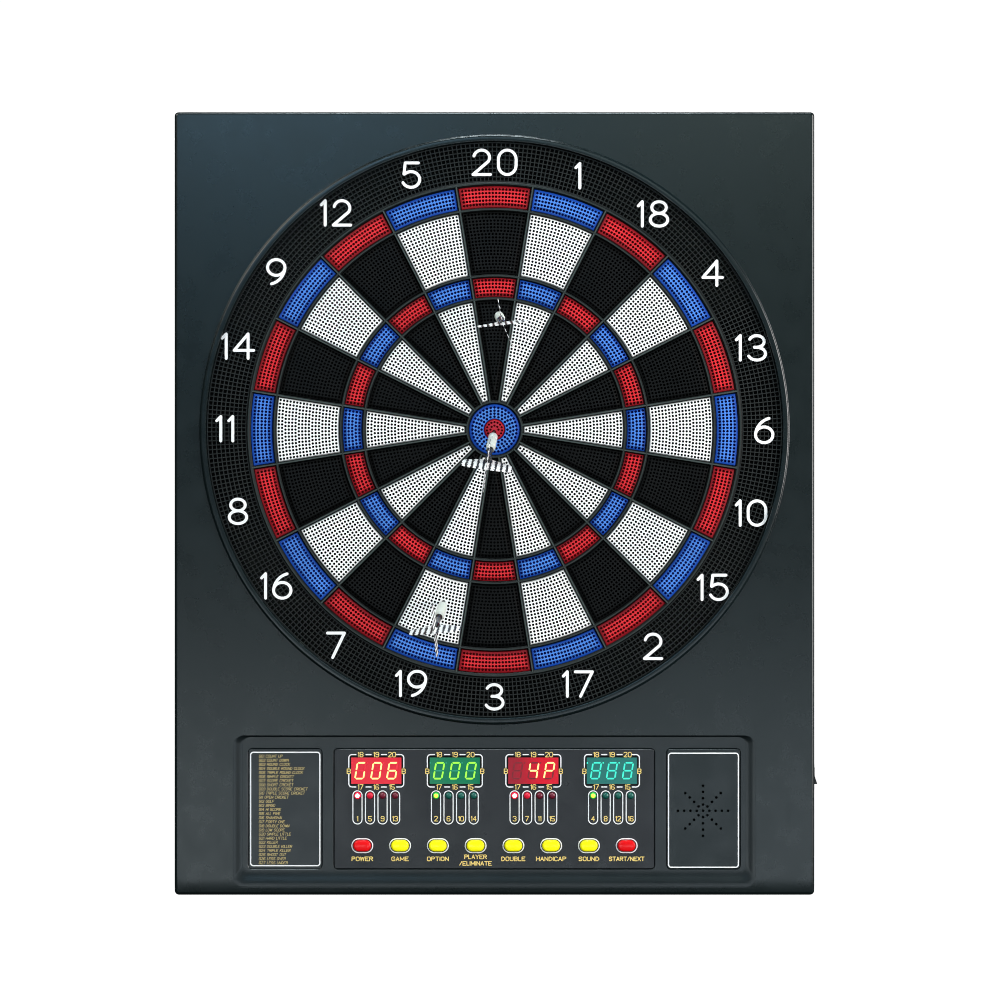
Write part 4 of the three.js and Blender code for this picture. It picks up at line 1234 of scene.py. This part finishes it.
# ---- studio
def area(name, place, aim, size, power, color=(1, 1, 1)):
    """A rectangular light at a place, turned towards an aim, all in metres."""
    data = bpy.data.lights.new(name, "AREA")
    data.shape = "RECTANGLE"
    data.size, data.size_y = size
    data.energy = power
    data.color = color
    light = bpy.data.objects.new(name, data)
    light.location = place
    light.rotation_euler = (Vector(aim) - Vector(place)).to_track_quat("-Z", "Y").to_euler()
    bpy.context.scene.collection.objects.link(light)


def studio():
    scene = bpy.context.scene
    world = bpy.data.worlds.new("studio")
    scene.world = world
    world.use_nodes = True
    nodes, links = world.node_tree.nodes, world.node_tree.links
    sky, seen = nodes["Background"], nodes.new("ShaderNodeBackground")
    for background, strength in ((sky, 0.04), (seen, 1.05)):
        background.inputs["Color"].default_value = (1, 1, 1, 1)
        background.inputs["Strength"].default_value = strength
    path, mix = nodes.new("ShaderNodeLightPath"), nodes.new("ShaderNodeMixShader")
    links.new(path.outputs["Is Camera Ray"], mix.inputs[0])
    links.new(sky.outputs[0], mix.inputs[1])
    links.new(seen.outputs[0], mix.inputs[2])
    links.new(mix.outputs[0], nodes["World Output"].inputs["Surface"])

    reach, level = 9.0, -1.15
    mesh = bpy.data.meshes.new("floor")
    mesh.from_pydata([(-reach, -reach, level), (reach, -reach, level), (reach, reach, level),
                      (-reach, reach, level)], [], [(0, 1, 2, 3)])
    mesh.materials.append(look("floor_pale", (246, 246, 245), 0.9, vary=0.01, glow=(255, 255, 255),
                               power=1.0))
    obj = bpy.data.objects.new("floor", mesh)
    obj.visible_diffuse = obj.visible_glossy = False
    scene.collection.objects.link(obj)

    area("key", (-1.75, -1.5, 1.6), (0, 0, -0.05), (1.3, 1.3), 37, (1.0, 1.0, 0.93))
    area("fill", (2.15, -1.2, 0.3), (0, 0, -0.06), (1.2, 1.4), 74, (1.0, 0.97, 0.96))
    area("high_left", (-0.45, -2.5, 0.8), (-0.05, 0, 0.1), (0.7, 0.4), 5.5, (0.42, 0.73, 1.0))
    area("high_right", (0.45, -2.5, 0.8), (0.05, 0, 0.1), (0.7, 0.4), 2.6, (0.79, 1.0, 0.98))
    area("low_left", (-0.6, -2.5, -0.65), (0, 0, -0.2), (1.0, 0.4), 4.9, (0.82, 0.94, 1.0))
    area("low_right", (0.6, -2.5, -0.65), (0, 0, -0.2), (1.0, 0.4), 4.5, (0.78, 0.91, 1.0))
    area("top", (0.0, -0.5, 1.9), (0, 0, 0.1), (0.55, 0.3), 30, (0.82, 0.95, 1.0))
    area("back", (0.0, 2.4, 1.2), (0, 0, -0.1), (2.0, 1.6), 75)

    data = bpy.data.cameras.new("camera")
    data.lens, data.sensor_width = 99.45, 36.0
    data.clip_end = 60
    camera = bpy.data.objects.new("camera", data)
    camera.location = (0.0044, -2.23, -0.0561)
    camera.rotation_euler = (math.pi / 2, 0, 0)
    scene.collection.objects.link(camera)
    scene.camera = camera
    scene.view_settings.view_transform = "Standard"
    scene.cycles.filter_width = 1.0


for build in (studio, housing, target, bulls, spider, catch_ring, numbers, displays, lamps, fascia,
              buttons, side_panels, side_fittings, back_cover, darts, inner_parts):
    build()
